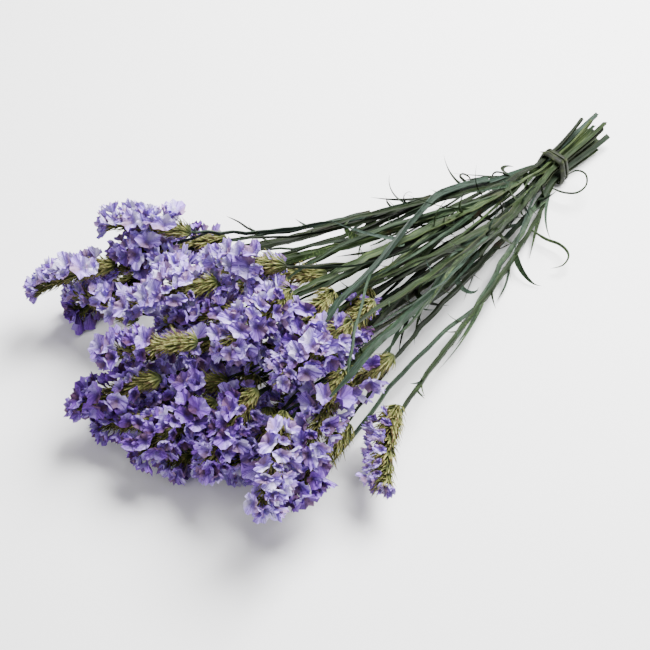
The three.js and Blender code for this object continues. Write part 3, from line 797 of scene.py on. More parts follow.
def nearest(corners, points):
    """For each corner, the nearest point of a line and how far off it is, in millimetres."""
    gaps = np.linalg.norm(corners[:, None, :] / MM - (points + shift)[None, :, :], axis=2)
    which = gaps.argmin(1)
    return which, gaps[np.arange(len(corners)), which]


# %% [markdown]
# ### The strands of one stem
#
# Dried stems aren't as even as the beads that were drawn smooth, so each bead is moved a little to the
# side first. Then a point is added halfway between each two beads, on the smooth curve through four of
# them. The last stretch of a trunk or a branch is the thin axis that carries one spike of florets.

# %% Lines of the strands
KINK = 0.6  # how far a bead may be moved to the side
AXIS = {"steps": 8, "widths": (1.1, 0.6)}  # the points of a spike's own axis, and half its width at its ends


def halved(points):
    """The same line with a point added in each gap, on a smooth curve."""
    padded = np.vstack([2 * points[0] - points[1], points, 2 * points[-1] - points[-2]])
    middles = (9 * (padded[1:-2] + padded[2:-1]) - padded[:-3] - padded[3:]) / 16
    line = np.empty((2 * len(points) - 1, 3))
    line[0::2], line[1::2] = points, middles
    return line


def kinked(beads, seed, first):
    """Small sideways kinks, from bead `first` on, that leave both ends in place."""
    chance = np.random.default_rng(seed)
    moved = beads.copy()
    moved[first:-1] += chance.uniform(-KINK, KINK, (len(beads) - first - 1, 3))
    return moved


def axis_of(spike):
    return np.array([spike.point(t) for t in np.linspace(0, 1, AXIS["steps"] + 1)[1:]])


print("points of the first trunk:", len(halved(stems[0]["trunk"])))

# %% The widths and twists of the strands
SEEDS = 40  # how many seeds each stem has to itself
# Half the width of a trunk at its cut end, at its neck and where it is winged; the shares of its length
# over which the wings begin and end; how uneven it is, and over which shares that begins.
TRUNK = {
    "cut": 2.1, "neck": 1.4, "winged": 2.6, "begin": (0.22, 0.42), "end": (0.72, 1),
    "ripple": 0.1, "rippled": (0.2, 0.3),
}
WIDEST = {2: 3.4, 6: 3.4, 10: 3.3, 11: 2.4, 12: 2.3, 13: 2.1}  # half the width of some stems' wings
BRANCH = {"foot": 2.2, "neck": 1.3, "ripple": 0.12}
TWIST = {"slow": 4, "wave": 0.07}  # how far wings turn over a whole strand, and from point to point


def trunk_widths(shares, seed):
    """Half the width of a trunk: stout where it is cut and tied, winged in the middle, slim at its neck."""
    chance = np.random.default_rng(seed)
    winged = smooth(shares, *TRUNK["begin"]) * (1 - smooth(shares, *TRUNK["end"]))
    ripple = 1 + TRUNK["ripple"] * chance.uniform(-1, 1, len(shares)) * smooth(shares, *TRUNK["rippled"])
    widest = WIDEST.get(seed // SEEDS, TRUNK["winged"])
    return mix(mix(TRUNK["cut"], TRUNK["neck"], shares), widest, winged) * ripple


def branch_widths(shares, seed):
    ripple = 1 + BRANCH["ripple"] * np.random.default_rng(seed).uniform(-1, 1, len(shares))
    return mix(BRANCH["foot"], BRANCH["neck"], shares) * ripple


def twists(count, seed):
    """How far the wings have turned at each point: a slow twist with small waves."""
    chance = np.random.default_rng(seed + 500)
    slow = np.linspace(0, chance.uniform(-TWIST["slow"], TWIST["slow"]), count) + chance.uniform(0, 6)
    return slow + TWIST["wave"] * chance.uniform(-1, 1, count)


def winged_strand(points, widths, seed):
    """A winged strand along points, from half its width at each of them, in the stem finish."""
    piece = swept(points, widths / WINGS[0][1], twists(len(points), seed), WINGED)
    piece.data.materials.append(STEM)
    return piece


def strand(beads, spike, widths, seed, first=1):
    """A trunk or a branch with the axis of its spike. `edge` is 0 on its core and 1 at a wing's edge."""
    line = halved(kinked(beads, seed, first))
    axis = axis_of(spike)
    width = widths(np.linspace(0, 1, len(line)), seed)
    width = np.concatenate([width, np.linspace(*AXIS["widths"], len(axis))])
    points = np.vstack([line, axis])
    piece = winged_strand(points, width, seed)
    which, gap = nearest(corners_of(piece.data), points)
    mark(piece.data, "edge", np.clip(gap / width[which] * 1.5 - 0.5, 0, 1))
    return piece


print("the stem with the widest wings:", max(WIDEST, key=WIDEST.get) + 1)

# %% [markdown]
# ### Shoots, sprays and crossing stems
#
# Not every branch flowers well. Some are barren shoots that sway away from their trunk, some are short
# twigs with a small spray that fills a gap between the heads, and a few bare stems have slipped out of the
# fan and lie across the bunch. All of them could be drawn point by point. The shoots are many and can
# hardly be told apart, so they follow their trunk by a rule, and only the others get places of their own.

# %% Barren side shoots
OPEN_STEMS = (7, 9, 11, 12, 13)  # the outer stems stand free and bear no barren shoots
# Where a shoot leaves its trunk and where it ends, as shares; how it leans, in degrees, how far it sways
# and the share of a wave that it sways by; half its width, what is left of that at its end, and its least.
SHOOTS = {
    "count": 2, "from": (0.0, 0.4), "to": (0.62, 1.0), "lean": (-50, 50), "sway": (6, 18),
    "wave": (0.55, 0.95), "width": (1.2, 2.4), "left": 0.55, "least": 0.25, "floor": 2.2,
}


def side_shoot(stem, seed):
    """A side branch without florets, which sways away from its trunk and dries up beside the heads."""
    chance = np.random.default_rng(seed + 300)
    trunk, held = stem["trunk"], stem["held"]
    first, last = [int(mix(held, len(trunk) - 1, chance.uniform(*SHOOTS[end]))) for end in ("from", "to")]
    beads = trunk[first : last + 1].copy()
    shares = np.linspace(0, 1, len(beads))[:, None]
    along = unit(beads[-1] - beads[0])
    across = turned(unit(np.cross([0, 0, 1.0], along)), along, chance.uniform(*SHOOTS["lean"]))
    sway = chance.uniform(*SHOOTS["sway"]) * chance.choice([-1, 1])
    beads += across * sway * np.sin(shares * chance.uniform(*SHOOTS["wave"]) * math.pi)
    beads[:, 2] = np.maximum(beads[:, 2], SHOOTS["floor"])
    line = halved(kinked(beads, seed, 1))
    reach = np.linspace(0, 1, len(line))
    width = chance.uniform(*SHOOTS["width"]) * mix(1, SHOOTS["left"], reach)
    width *= 1 - smooth(reach, 0.93, 1.02)
    return winged_strand(line, np.maximum(width, SHOOTS["least"]), seed)


print("barren shoots:", SHOOTS["count"] * (len(stems) - len(OPEN_STEMS)))

# %% Side sprays
# The stem, the share of its trunk where the twig leaves, and where the spray begins and ends.
SPRAYS = [
    (3, 0.72, (-101, 8, 26), (-123, 11, 26)),
    (8, 0.7, (-108, -24, 17), (-133, -27, 17)),
    (8, 0.8, (-112, -12, 30), (-134, -22, 32)),
    (9, 0.75, (-93, -57, 14), (-118, -59, 13)),
    (2, 0.7, (-92, 24, 34), (-112, 22, 36)),
    (1, 0.93, (-119, 63, 58), (-136, 77, 57)),
    (0, 0.82, (-124, 63, 45), (-140, 69, 50)),
]
TWIG = {"width": 1.2, "sag": 5.0}


def spray_frame(i, share, *ends):
    """A short spike that faces up."""
    start, end = ends = np.array(ends, dtype=float)
    spray = Spike(ends, i, int(100 * share))
    spray.length = np.linalg.norm(end - start)
    spray.out = unit(np.array([0, 0, 1.0]) - spray.along * spray.along[2])
    spray.side = np.cross(spray.out, spray.along)
    return spray


def spray_twig(stem, i, share, *ends):
    """The twig from the trunk to a spray, and the spray's own axis."""
    start, end = np.array(ends, dtype=float)
    trunk, held = stem["trunk"], stem["held"]
    leave = trunk[int(mix(held, len(trunk) - 1, share))]
    shares = np.linspace(0, 1, 9)[:, None]
    line = mix(leave, start, shares) - np.array([0, 0, TWIG["sag"]]) * shares * (1 - shares)
    points = np.vstack([line, mix(start, end, np.linspace(0.2, 1, 5)[:, None])])
    return winged_strand(points, np.linspace(TWIG["width"], AXIS["widths"][1], len(points)), i)


for i, stem in enumerate(stems):
    stem["sprays"] = [spray_frame(*row) for row in SPRAYS if row[0] == i]
print("sprays:", len(SPRAYS))

# %% Barren stems across the bunch
# The stem that each one leaves, half its width, and its points. It starts from the trunk's nearest bead.
CROSSING = [
    (12, 3.1, [
        (101, -29, 26), (46, -46, 46), (3, -66, 52), (-20, -74, 58), (-46, -86, 72), (-72, -97, 84),
        (-108, -107, 80),
    ]),
    (6, 1.3, [
        (-9, -30, 67), (-27, -45, 78), (-49, -64, 90), (-70, -83, 97), (-85, -97, 98), (-97, -109, 93),
    ]),
    (1, 3.5, [
        (108, 1, 24), (66, -1, 44), (39, -12, 58), (11, -27, 70), (-39, -52, 84), (-65, -61, 89),
        (-88, -70, 84),
    ]),
    (13, 1.9, [
        (38, -71, 15), (12, -75, 18), (-11, -80, 20), (-36, -86, 20), (-59, -93, 18), (-77, -99, 16),
        (-107, -108, 12),
    ]),
    (13, 2.7, [
        (139, -18, 14), (123, -31, 16), (104, -41, 16), (84, -49, 15), (69, -56, 14), (53, -64, 14),
        (33, -72, 15),
    ]),
]
# What is left of their width towards the end, how much of that goes at the tip, and how waxy they are.
CROSSES = {"left": 0.75, "tip": 0.7, "waxy": 0.8}


def crossing_stem(trunk, width, points, seed):
    """A stem without florets that leaves its trunk and lies across the bunch."""
    line = np.array(points, dtype=float)
    line[0] = trunk[np.linalg.norm(trunk - line[0], axis=1).argmin()]
    line = halved(kinked(halved(line), seed, 1))
    reach = np.linspace(0, 1, len(line))
    widths = width * mix(1, CROSSES["left"], reach) * (1 - CROSSES["tip"] * smooth(reach, 0.9, 1))
    return winged_strand(line, widths, seed)


print("crossing stems:", len(CROSSING))

# %% [markdown]
# ### Leaves and leaflets
#
# Statice keeps most of its leaves at the ground, so a cut stem carries only a few long narrow ones and some
# short pointed leaflets. As they dry, leaves curl up tight or crumple. All of them are a thin outline swept
# along a bent line, narrowing to a point. The leaves that stand clear of the bunch have places of their
# own, and the many small ones grow by a rule, some alone and some in tufts.

# %% The leaves' places and sizes
# The stem, the share of it where the leaf grows, its roll round the stem from upright, its first angle
# to the stem, its curl (all degrees) and its length.
LEAVES = [
    (13, 0.42, -60, 30, 10, 26),
    (0, 0.32, 60, 40, 40, 16),
    (0, 0.64, 50, 30, 40, 22),
    (1, 0.2, 40, 35, 60, 30),
    (3, 0.22, 10, 40, 60, 34),
    (6, 0.36, -10, 35, 70, 38),
    (9, 0.3, -60, 30, -30, 30),
    (10, 0.2, -20, 40, 70, 36),
    (12, 0.55, -50, 30, 60, 30),
    (7, 0.3, -80, 40, 50, 30),
]
LEAF_WIDTH = 1.1
# The dry leaves that curl clear of the bunch: the stem and the points of the leaf.
CURLED = [
    (9, [
        (152, -18, 10), (155, -26, 10), (161, -34, 12), (170, -34, 14), (177, -26, 14), (175, -18, 12),
        (164, -17, 10),
    ]),
    (13, [
        (116, -38, 8), (119, -50, 7), (122, -58, 8), (122, -66, 9), (119, -72, 9), (112, -74, 7),
        (105, -70, 5),
    ]),
    (0, [(105, 11, 12), (104, 18, 16), (103, 22, 18), (106, 23, 18), (109, 19, 16), (107, 13, 13)]),
    (1, [(130, 1, 19), (126, 4, 22), (122, 7, 23), (119, 7, 21), (118, 3, 18)]),
    (1, [(183, 4, 13), (174, 1, 15), (169, 3, 15), (168, 6, 15), (165, 9, 15)]),
    (0, [(50, 21, 20), (45, 25, 22), (44, 29, 24), (45, 31, 25)]),
    (1, [(-59, 33, 60), (-63, 38, 62), (-65, 45, 63), (-69, 53, 64)]),
    (13, [(84, -53, 11), (78, -58, 7), (71, -63, 4), (60, -68, 2)]),
    (11, [(200, -5, 14), (211, -3, 15), (216, -2, 16), (216, 1, 16), (210, 1, 15)]),
]
CURLED_WIDTH = 1.05
# The kinds of small leaf. For each: its number on a trunk, how many share a tuft, where they grow along the
# trunk, and the ranges of their first angle, curl, length and half width.
STRAPS = {
    "count": 6, "tuft": 1, "among": (0.0, 0.75),
    "start": (4, 22), "curl": (-32, 32), "length": (30, 75), "width": (0.9, 1.7),
}
CURLS = {
    "count": 3, "tuft": 2, "among": (0.1, 0.7),
    "start": (20, 70), "curl": (120, 380), "length": (8, 20), "width": (0.5, 0.9),
}
CRUMPLED = {
    "count": 2, "tuft": 1, "among": (0.05, 0.6),
    "start": (10, 60), "curl": (60, 220), "length": (18, 32), "width": (1.5, 2.4),
}
THORNS = {
    "count": 15, "tuft": 3, "among": (0.15, 1.0),
    "start": (14, 65), "curl": (5, 70), "length": (6, 15), "width": (0.5, 0.9),
}
# The share of its width that a leaf has at its foot and how fast it widens; the share that it loses until
# its tip, from a little over the whole; how far it twists; and where its reddish tip begins.
LEAF_CUT = {"foot": 0.45, "widens": 4, "whole": 1.04, "twist": 0.9, "tip": (0.75, 1.0)}
print("leaves with places of their own:", len(LEAVES) + len(CURLED))


# %% Bending the leaves
def leaf_along(points, width, seed, outline=LEAFLET, taper=1.6):
    """A narrow leaf along points: it widens from its foot, then runs to a point."""
    shares = np.linspace(0, 1, len(points))
    widths = width * np.minimum(LEAF_CUT["foot"] + LEAF_CUT["widens"] * shares, 1)
    widths *= LEAF_CUT["whole"] - shares**taper
    tilts = np.linspace(0, LEAF_CUT["twist"] * vary(seed + 0.2), len(points)) + vary(seed)
    piece = swept(points, widths, tilts, outline)
    piece.data.materials.append(STEM)
    mark(piece.data, "edge", 0.25)
    reach = nearest(corners_of(piece.data), points)[0] / len(points)
    mark(piece.data, "blush", smooth(reach, *LEAF_CUT["tip"]))
    return piece


def leaf(beads, k, roll, start, curl, length, width, seed, steps=14):
    """A narrow leaf from bead k of a line, which curls as it goes."""
    along = unit(beads[k + 1] - beads[k])
    out = np.array([0, 0, 1.0]) - along * along[2]
    out = turned(unit(out), along, roll)
    points = [beads[k].copy()]
    for n in range(steps):
        angle = math.radians(start + curl * n / steps)
        points.append(points[-1] + (along * math.cos(angle) + out * math.sin(angle)) * length / steps)
    points = np.array(points)
    points[:, 2] = np.maximum(points[:, 2], 1.0)
    return leaf_along(points, width, seed)


def small_greens(stem, seed):
    """The small leaves of one trunk: straps, tight curls, crumpled leaves and short pointed leaflets."""
    chance = np.random.default_rng(seed + 900)
    trunk, held = stem["trunk"], stem["held"]
    made = []
    for kind, steps in ((STRAPS, 12), (CURLS, 12), (CRUMPLED, 10), (THORNS, 6)):
        for n in range(kind["count"]):
            if n % kind["tuft"] == 0:
                k = int(mix(held, len(trunk) - 2, chance.uniform(*kind["among"])))
            start, curl = chance.uniform(*kind["start"]), chance.uniform(*kind["curl"])
            length, width = chance.uniform(*kind["length"]), chance.uniform(*kind["width"])
            roll = chance.uniform(-180, 180)
            made.append(leaf(trunk, k, roll, start, curl, length, width, seed + len(made), steps))
    return made


# %% [markdown]
# ### Bracts
#
# Small pointed bracts stand all round the bare foot of a spike, and further up between its florets. One
# bract could be a folded leaf, but its hard points are what shows, so it is made of four slim buds: a small
# disc is drawn up ring by ring with extrude and scale, flattened and bent. Three kinds are modelled, and
# every bract is a copy of one.


# %% Drawing a form up from a disc
def drawn_up(corners, rings):
    """A closed form from a disc that is extruded and scaled: each ring has a radius and a height."""
    deselect()
    radius, height = rings[0]
    place = (0, 0, height * MM)
    bpy.ops.mesh.primitive_circle_add(vertices=corners, radius=radius * MM, fill_type="NGON", location=place)
    piece = bpy.context.object
    bpy.ops.object.transform_apply(location=True)
    bpy.ops.object.mode_set(mode="EDIT")
    bpy.ops.mesh.select_all(action="SELECT")
    for (r0, z0), (r1, z1) in zip(rings, rings[1:]):
        bpy.ops.mesh.extrude_region_move(TRANSFORM_OT_translate={"value": (0, 0, (z1 - z0) * MM)})
        bpy.ops.transform.resize(value=(r1 / r0, r1 / r0, 1))
    bpy.ops.mesh.select_all(action="SELECT")
    bpy.ops.mesh.normals_make_consistent(inside=False)
    bpy.ops.object.mode_set(mode="OBJECT")
    return piece


def joined(pieces, name):
    """One object from several."""
    deselect()
    for piece in pieces:
        piece.select_set(True)
    bpy.context.view_layer.objects.active = pieces[0]
    bpy.ops.object.join()
    whole = bpy.context.object
    whole.name = name
    whole.data.name = name
    return whole


# %% The bract
BUD = [(0.3, 0), (0.7, 3.0), (0.55, 7.5), (0.06, 12.5)]
BUD_FLAT, BUD_BEND = 0.7, 0.035
BUD_VARIES = {"bend": 0.5, "lean": 8}
CUSPS = [(-6, 1.0), (-30, 0.8), (16, 0.86), (36, 0.7)]  # each bud's lean to the side and its size
BRACT_KINDS = 3


def bract_form(kind):
    buds = []
    for n, (lean, size) in enumerate(CUSPS):
        bud = drawn_up(4, BUD)
        corners = corners_of(bud.data) / MM
        bend = 1 + BUD_VARIES["bend"] * vary(kind + n)
        corners[:, 1] = corners[:, 1] * BUD_FLAT - BUD_BEND * corners[:, 2] ** 2 * bend
        bud.data.vertices.foreach_set("co", (corners * MM).ravel())
        mark(bud.data, "reach", corners[:, 2] / BUD[-1][1])
        lean += BUD_VARIES["lean"] * vary(7 * kind + n)
        tilt = Matrix.Rotation(math.radians(lean), 4, "Y")
        bud.data.transform(Matrix.Scale(size, 4) @ tilt)
        buds.append(bud)
    whole = joined(buds, "bract_form")
    whole.data.materials.append(BRACT_SKIN)
    bpy.ops.object.shade_smooth_by_angle(angle=math.radians(35))
    return whole


def planted(form, foot, toward, up, size, tone):
    """A copy of a form with its own mesh, its foot at a place and its height along a direction."""
    z = Vector(toward).normalized()
    x = Vector(up).cross(z).normalized()
    y = z.cross(x)
    turn = Matrix((x, y, z)).transposed().to_4x4()
    place = Matrix.Translation(Vector((foot + shift) * MM))
    mesh = form.data.copy()
    mesh.transform(place @ turn @ Matrix.Scale(size, 4))
    mark(mesh, "tone", tone)
    copy = bpy.data.objects.new(form.name, mesh)
    bpy.context.scene.collection.objects.link(copy)
    return copy


BRACT_FORMS = [bract_form(kind) for kind in range(BRACT_KINDS)]
print("faces of a bract:", len(BRACT_FORMS[0].data.polygons))

# %% The comb of bracts on a spike
# The rows on a full spike, the shares of its length where they begin and end, and each bract's place in a
# row, as a roll in degrees. Below the florets, up to the share `crowded`, the rows are full, and further up
# every other bract is left out. Then how far each strays, how it leans, how far out it stands, its size,
# and how much smaller the last ones and those on the far side are.
BRACTS = {
    "rows": 24, "first": -0.28, "last": 0.96, "rolls": [0, 24, -24, 48, -48, 72, -72, 96, -96],
    "crowded": 0.04, "uneven": 0.01, "stray": 16, "lean": 0.7, "leans": (0.2, 1.8), "out": 0.4,
    "size": (0.8, 1.1), "smaller": 0.25, "outer": 0.85,
}
LONG_COMB = {(13, 0): 1.4}  # the lone stem's bracts reach further out, with the florets at their ends


def comb(spike, seed, longer=1.0):
    chance = np.random.default_rng(seed + 40)
    made = []
    rows = math.ceil(BRACTS["rows"] * spike.length / SPIKE_LENGTH)
    for row in range(rows):
        t = mix(BRACTS["first"], BRACTS["last"], row / rows) + BRACTS["uneven"] * chance.uniform(-1, 1)
        for roll in BRACTS["rolls"] if t < BRACTS["crowded"] else BRACTS["rolls"][row % 2 :: 2]:
            radial = spike.radial(roll + BRACTS["stray"] * chance.uniform(-1, 1))
            toward = spike.along * BRACTS["lean"] * chance.uniform(*BRACTS["leans"]) + radial
            foot = spike.point(max(t, 0.0)) + radial * BRACTS["out"]
            foot += spike.along * min(t, 0.0) * spike.length
            form = BRACT_FORMS[int(chance.integers(len(BRACT_FORMS)))]
            size = chance.uniform(*BRACTS["size"]) * (1 - BRACTS["smaller"] * max(t, -1.5 * t))
            size *= 1 if abs(roll) < 90 else BRACTS["outer"]
            made.append(planted(form, foot, toward, radial, size * longer, chance.uniform(0, 1)))
    return made


print("bracts in a full row:", len(BRACTS["rolls"]))

# %% [markdown]
# ### Putting the stems together
#
# Each stem is its trunk, its branches with their spikes' axes, its shoots, twigs and crossing stems, its
# leaves and its bracts, joined in one piece. Its tone is its own: some stems dried grey, some stayed
# greener, and all are a little lighter where they are tied. The lowest parts are pressed against the table.

# %% Finishing touches
BLUSH = {"near": 2.0, "far": 7.0}  # millimetres from a fork
SOFT_HEIGHT = 3.0  # what lies lower than this, in millimetres, gives way to the table


def press_on_table(mesh):
    """Whatever would reach below the table is squeezed together just above it."""
    corners = corners_of(mesh)
    low = corners[:, 2] < SOFT_HEIGHT * MM
    over = corners[low, 2] / (SOFT_HEIGHT * MM) - 1
    corners[low, 2] = SOFT_HEIGHT * MM * np.exp(over)
    mesh.vertices.foreach_set("co", corners.ravel())


def blush_near(piece, nodes):
    """The reddish tint where branches leave."""
    gap = nearest(corners_of(piece.data), nodes)[1]
    mark(piece.data, "blush", 1 - smooth(gap, BLUSH["near"], BLUSH["far"]))


def show_pith(piece, end):
    """The cut face takes the pith's finish."""
    piece.data.materials.append(PITH)
    end = Vector((end + shift) * MM)
    for face in piece.data.polygons:
        if len(face.vertices) > 4 and (face.center - end).length < 2 * MM:
            face.material_index = 1


print("a corner 2 mm below the table rises to", round(SOFT_HEIGHT * math.exp(-2 / SOFT_HEIGHT - 1), 2), "mm")

# %% Build the stems
LIGHTER = {"between": (105, 165), "by": 0.1}  # the stems dried lighter towards the band
GREEN_STEMS = {6: 0.7, 3: 0.62, 10: 0.62, 12: 0.56, 13: 0.66}  # the stems that stayed a lighter green
TONE = {"usual": 0.31, "of_stem": 0.22, "of_piece": 0.13}  # how tones vary from stem to stem and within one
WAXY = (0.1, 0.6)  # the draws between which a strand turns from plain to waxy


def greens_of(i, stem):
    """All the leaves of a stem."""
    trunk, held = stem["trunk"], stem["held"]
    greens = small_greens(stem, 60 * i)
    for owner, share, roll, start, curl, length in LEAVES:
        if owner == i:
            k = math.floor(mix(held, len(trunk) - 3, share) + 0.5)
            greens.append(leaf(trunk, k, roll, start, curl, length, LEAF_WIDTH, i + length))
    for n, (owner, points) in enumerate(CURLED):
        if owner == i:
            line = halved(halved(np.array(points, dtype=float)))
            greens.append(leaf_along(line, CURLED_WIDTH, n, ROLLED, 5))
    return greens


def build_stem(i):
    stem = stems[i]
    tone = GREEN_STEMS.get(i, TONE["usual"] + TONE["of_stem"] * vary(i + 2.5))
    nodes = np.array([stem["trunk"][leave] for leave, _ in stem["branches"]] + [stem["trunk"][-1]])
    trunk = strand(stem["trunk"], stem["spikes"][0], trunk_widths, SEEDS * i, stem["held"])
    strands = [trunk]
    for k, (_, beads) in enumerate(stem["branches"]):
        strands.append(strand(beads, stem["spikes"][k + 1], branch_widths, SEEDS * i + k + 1))
    if i not in OPEN_STEMS:
        strands += [side_shoot(stem, SEEDS * i + n) for n in range(SHOOTS["count"])]
    for piece in strands:
        blush_near(piece, nodes)
    show_pith(trunk, stem["trunk"][0])
    greens = greens_of(i, stem)
    twigs = [spray_twig(stem, *row) for row in SPRAYS if row[0] == i]
    crossing = [crossing_stem(stem["trunk"], *row[1:], SEEDS * i) for row in CROSSING if row[0] == i]
    for n, piece in enumerate(strands + greens + twigs + crossing):
        tied = smooth(corners_of(piece.data)[:, 0] / MM, *LIGHTER["between"])
        mark(piece.data, "tone", tone + TONE["of_piece"] * vary(n + i) + LIGHTER["by"] * tied)
        mark(piece.data, "waxy", smooth(vary(2 * n + i + 0.3), *WAXY))
    for piece in crossing:
        mark(piece.data, "waxy", CROSSES["waxy"])
    bracts = []
    for k, spike in enumerate(stem["spikes"] + stem["sprays"]):
        bracts += comb(spike, SEEDS * i + k, LONG_COMB.get((i, k), 1.0))
    whole = joined(strands + twigs + crossing + greens + bracts, f"stem_{i + 1:02d}_plant")
    press_on_table(whole.data)
    bpy.ops.object.shade_smooth_by_angle(angle=math.radians(38))
    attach(whole, "root")
    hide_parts(f"stem_{i + 1:02d}")
    return whole


stem_pieces = [build_stem(i) for i in range(len(stems))]
print("faces of the stems:", sum(len(piece.data.polygons) for piece in stem_pieces))

# %% [markdown]
# ## Florets
#
# A floret is a funnel of thin paper with five shallow lobes, and it is pleated and crumpled at its rim.
# It could be a sheet with thickness added, but a spike carries dozens, so each may have only a few dozen
# faces. A small disc is drawn up to the rim and back down inside to the throat, which makes a closed form
# whose rim is as thin as paper. The rim's corners are then moved in and out and up and down.

# %% One floret
FLORET = {
    "corners": 16,
    "rings": [(0.5, 0), (1.1, 3.2), (6.6, 9.0), (4.3, 8.0), (1.4, 5.2)],  # foot, neck, rim, fold, throat
    "outward": [-0.6, 0.3, 1.0, 0.62, 0.0],  # how far out each ring counts for the finish
    "open": [1.1, 1.0, 0.9, 1.04, 0.72, 0.95, 0.8, 0.56],  # one for each kind
    "flat": [0.95, 0.7, 0.85, 0.6, 0.8, 0.9, 0.55, 0.75],
    "lobes": 0.09,
    "oval": 0.14,
    "ragged": 0.1,
    "pleat": 1.1,  # how far the pleats rise and sink at the rim
    "pleats": (0.4, 1.5),  # how uneven they are
    "inside": 0.6,  # what is left of them at the fold
    "gather": 0.06,  # how much wider the fold is where a pleat rises
    "crumple": 0.45,
    "slant": 0.22,  # how much one side of the rim is raised
    "flare": 1.5,  # how much higher a wide rim stands
}


def floret_form(kind):
    chance = np.random.default_rng(kind + 1)
    piece = drawn_up(FLORET["corners"], FLORET["rings"])
    piece.name = "floret_form"
    corners = corners_of(piece.data) / MM
    radius = np.hypot(corners[:, 0], corners[:, 1])
    angle = np.arctan2(corners[:, 1], corners[:, 0])
    around = np.floor(angle / (2 * math.pi) * FLORET["corners"] + 0.5).astype(int) % FLORET["corners"]
    foot, neck, rim, fold, throat = [np.isclose(radius, r, atol=0.05) for r, _ in FLORET["rings"]]
    pleats = FLORET["pleat"] * (-1.0) ** np.arange(FLORET["corners"])
    pleat = (pleats * chance.uniform(*FLORET["pleats"], FLORET["corners"]))[around]
    wave = FLORET["open"][kind] * (1 + FLORET["oval"] * np.sin(angle * 2 + chance.uniform(0, 6)))
    lobe = 1 + FLORET["lobes"] * np.cos(5 * angle + chance.uniform(0, 6))
    rough = FLORET["crumple"] * chance.uniform(-1, 1, (len(corners), 2))
    scale = np.ones(len(corners))
    scale[rim] = (lobe * wave * (1 + FLORET["ragged"] * chance.uniform(-1, 1, len(corners))))[rim]
    scale[fold] = (wave * (1 + FLORET["gather"] * np.sign(pleat)))[fold]
    corners[:, :2] *= scale[:, None]
    corners[rim | fold, 1] *= FLORET["flat"][kind]
    corners[rim | fold, 2] += FLORET["slant"] * corners[rim | fold, 0]
    corners[rim, 2] += (pleat + rough[:, 0] + FLORET["flare"] * (wave - 1))[rim]
    corners[fold, 2] += (FLORET["inside"] * pleat + rough[:, 1])[fold]
    piece.data.vertices.foreach_set("co", (corners * MM).ravel())
    map_petal(piece.data, np.select([foot, neck, rim, fold, throat], FLORET["outward"]))
    piece.data.materials.append(FLORET_SKIN)
    bpy.ops.object.shade_smooth_by_angle(angle=math.radians(22))
    return piece


def map_petal(mesh, outward):
    """The UV map of a floret: round it, and from its throat out to its rim."""
    layer = mesh.uv_layers.new(name="petal")
    for face in mesh.polygons:
        middle = math.atan2(face.center[1], face.center[0])
        for corner in face.loop_indices:
            n = mesh.loops[corner].vertex_index
            x, y, _ = mesh.vertices[n].co
            turn = (math.atan2(y, x) - middle + math.pi) % (2 * math.pi) - math.pi + middle
            layer.data[corner].uv = (turn / (2 * math.pi), outward[n])


FLORET_FORMS = [floret_form(kind) for kind in range(len(FLORET["open"]))]
print("faces of a floret:", len(FLORET_FORMS[0].data.polygons))

# %% [markdown]
# ### Spikes of florets
#
# The florets crowd one side of the axis in four rows, with their feet in the comb of bracts, and lean
# forwards towards the tip, where a few close the end. They could stand evenly, but dry spikes lose florets:
# here and there, or all of them near the foot. Some spikes are bleached and some are deep violet, and the
# higher spikes are painted paler, as painted light from above, while a few are painted deeper, as painted
# shade. Where a spike lies low, its florets are pressed flat against the table.

# %% What the spikes bear
SPIKE_ROWS = [(-58, 0.08), (-20, 0.02), (20, 0.1), (58, 0.05)]  # roll, and where the row begins
TIP = [(0, 0.5), (-60, 0.45), (60, 0.45), (180, 0.15)]  # roll and how far each leans out
# The florets in a row of a full spike; how far each strays along it and round it; how far out its foot
# stands and how uneven that is; its lean at the spike's foot and at its tip and how that varies; its size
# and how much smaller it is at the tip; and where the florets that close the tip stand, and their size.
PLANTING = {
    "in_row": 7, "jitter": 0.02, "stray": 12, "out": 6.3, "uneven": (-1, 1.2), "lean": (-0.25, 0.75),
    "leans": 0.3, "size": (0.72, 1.12), "smaller": 0.12, "tip_at": 0.92, "tip_size": (0.75, 0.95),
}
FALLEN = 0.06  # the share of the florets that has fallen from most spikes
MORE_FALLEN = {"03b": 0.55, "07c": 0.1, "11b": 0.2, "11c": 0.45, "12a": 0.4, "12b": 0.55}
# The share of a spike that is bare, from its foot on.
BARE = {"03b": 0.3, "05a": 0.35, "10b": 0.35, "11b": 0.2, "12a": 0.3, "13a": 0.15}
CLOSED = {"14a": [4, 6, 7]}  # the spikes whose florets are nearly shut, and the kinds of floret they bear
# How much paler some spikes are than their height alone would make them, or how much deeper: partly their own
# bleaching, partly painted light on spikes in the light and painted shade on spikes in shadow.
BLEACH_AND_SHADE = {
    "01a": 0.5, "01b": 0.3, "02a": 0.4, "02b": 0.3, "05a": -0.15, "07b": -0.1, "07c": -0.3, "10a": 0.4,
    "11a": -0.15, "11b": -0.3, "11c": -0.1, "12a": -0.25, "12b": -0.3, "13a": -0.2, "14a": 0.3,
}
# The usual tone, how it varies from spike to spike, how much paler the higher spikes are painted, as painted
# light from above, and between which heights, and how it varies within a spike.
TONES = {"usual": 0.34, "of_spike": 0.26, "painted_top_light": 0.36, "between": (20, 75), "of_floret": 0.35}


def spike_tone(spike, name):
    """How pale a spike is: higher spikes are painted paler as painted light from above, and a few others are
    paler or deeper by their own bleaching and by painted light and shade.
    """
    middle = spike.point(0.5)
    own = TONES["usual"] + TONES["of_spike"] * vary(middle[0] + middle[1])
    # painted light: the higher a spike lies, the paler its florets are painted, as if lit from above
    return own + TONES["painted_top_light"] * smooth(middle[2], *TONES["between"]) + BLEACH_AND_SHADE.get(name, 0)


print("spikes that differ:", len({*MORE_FALLEN, *BARE, *CLOSED, *BLEACH_AND_SHADE}))


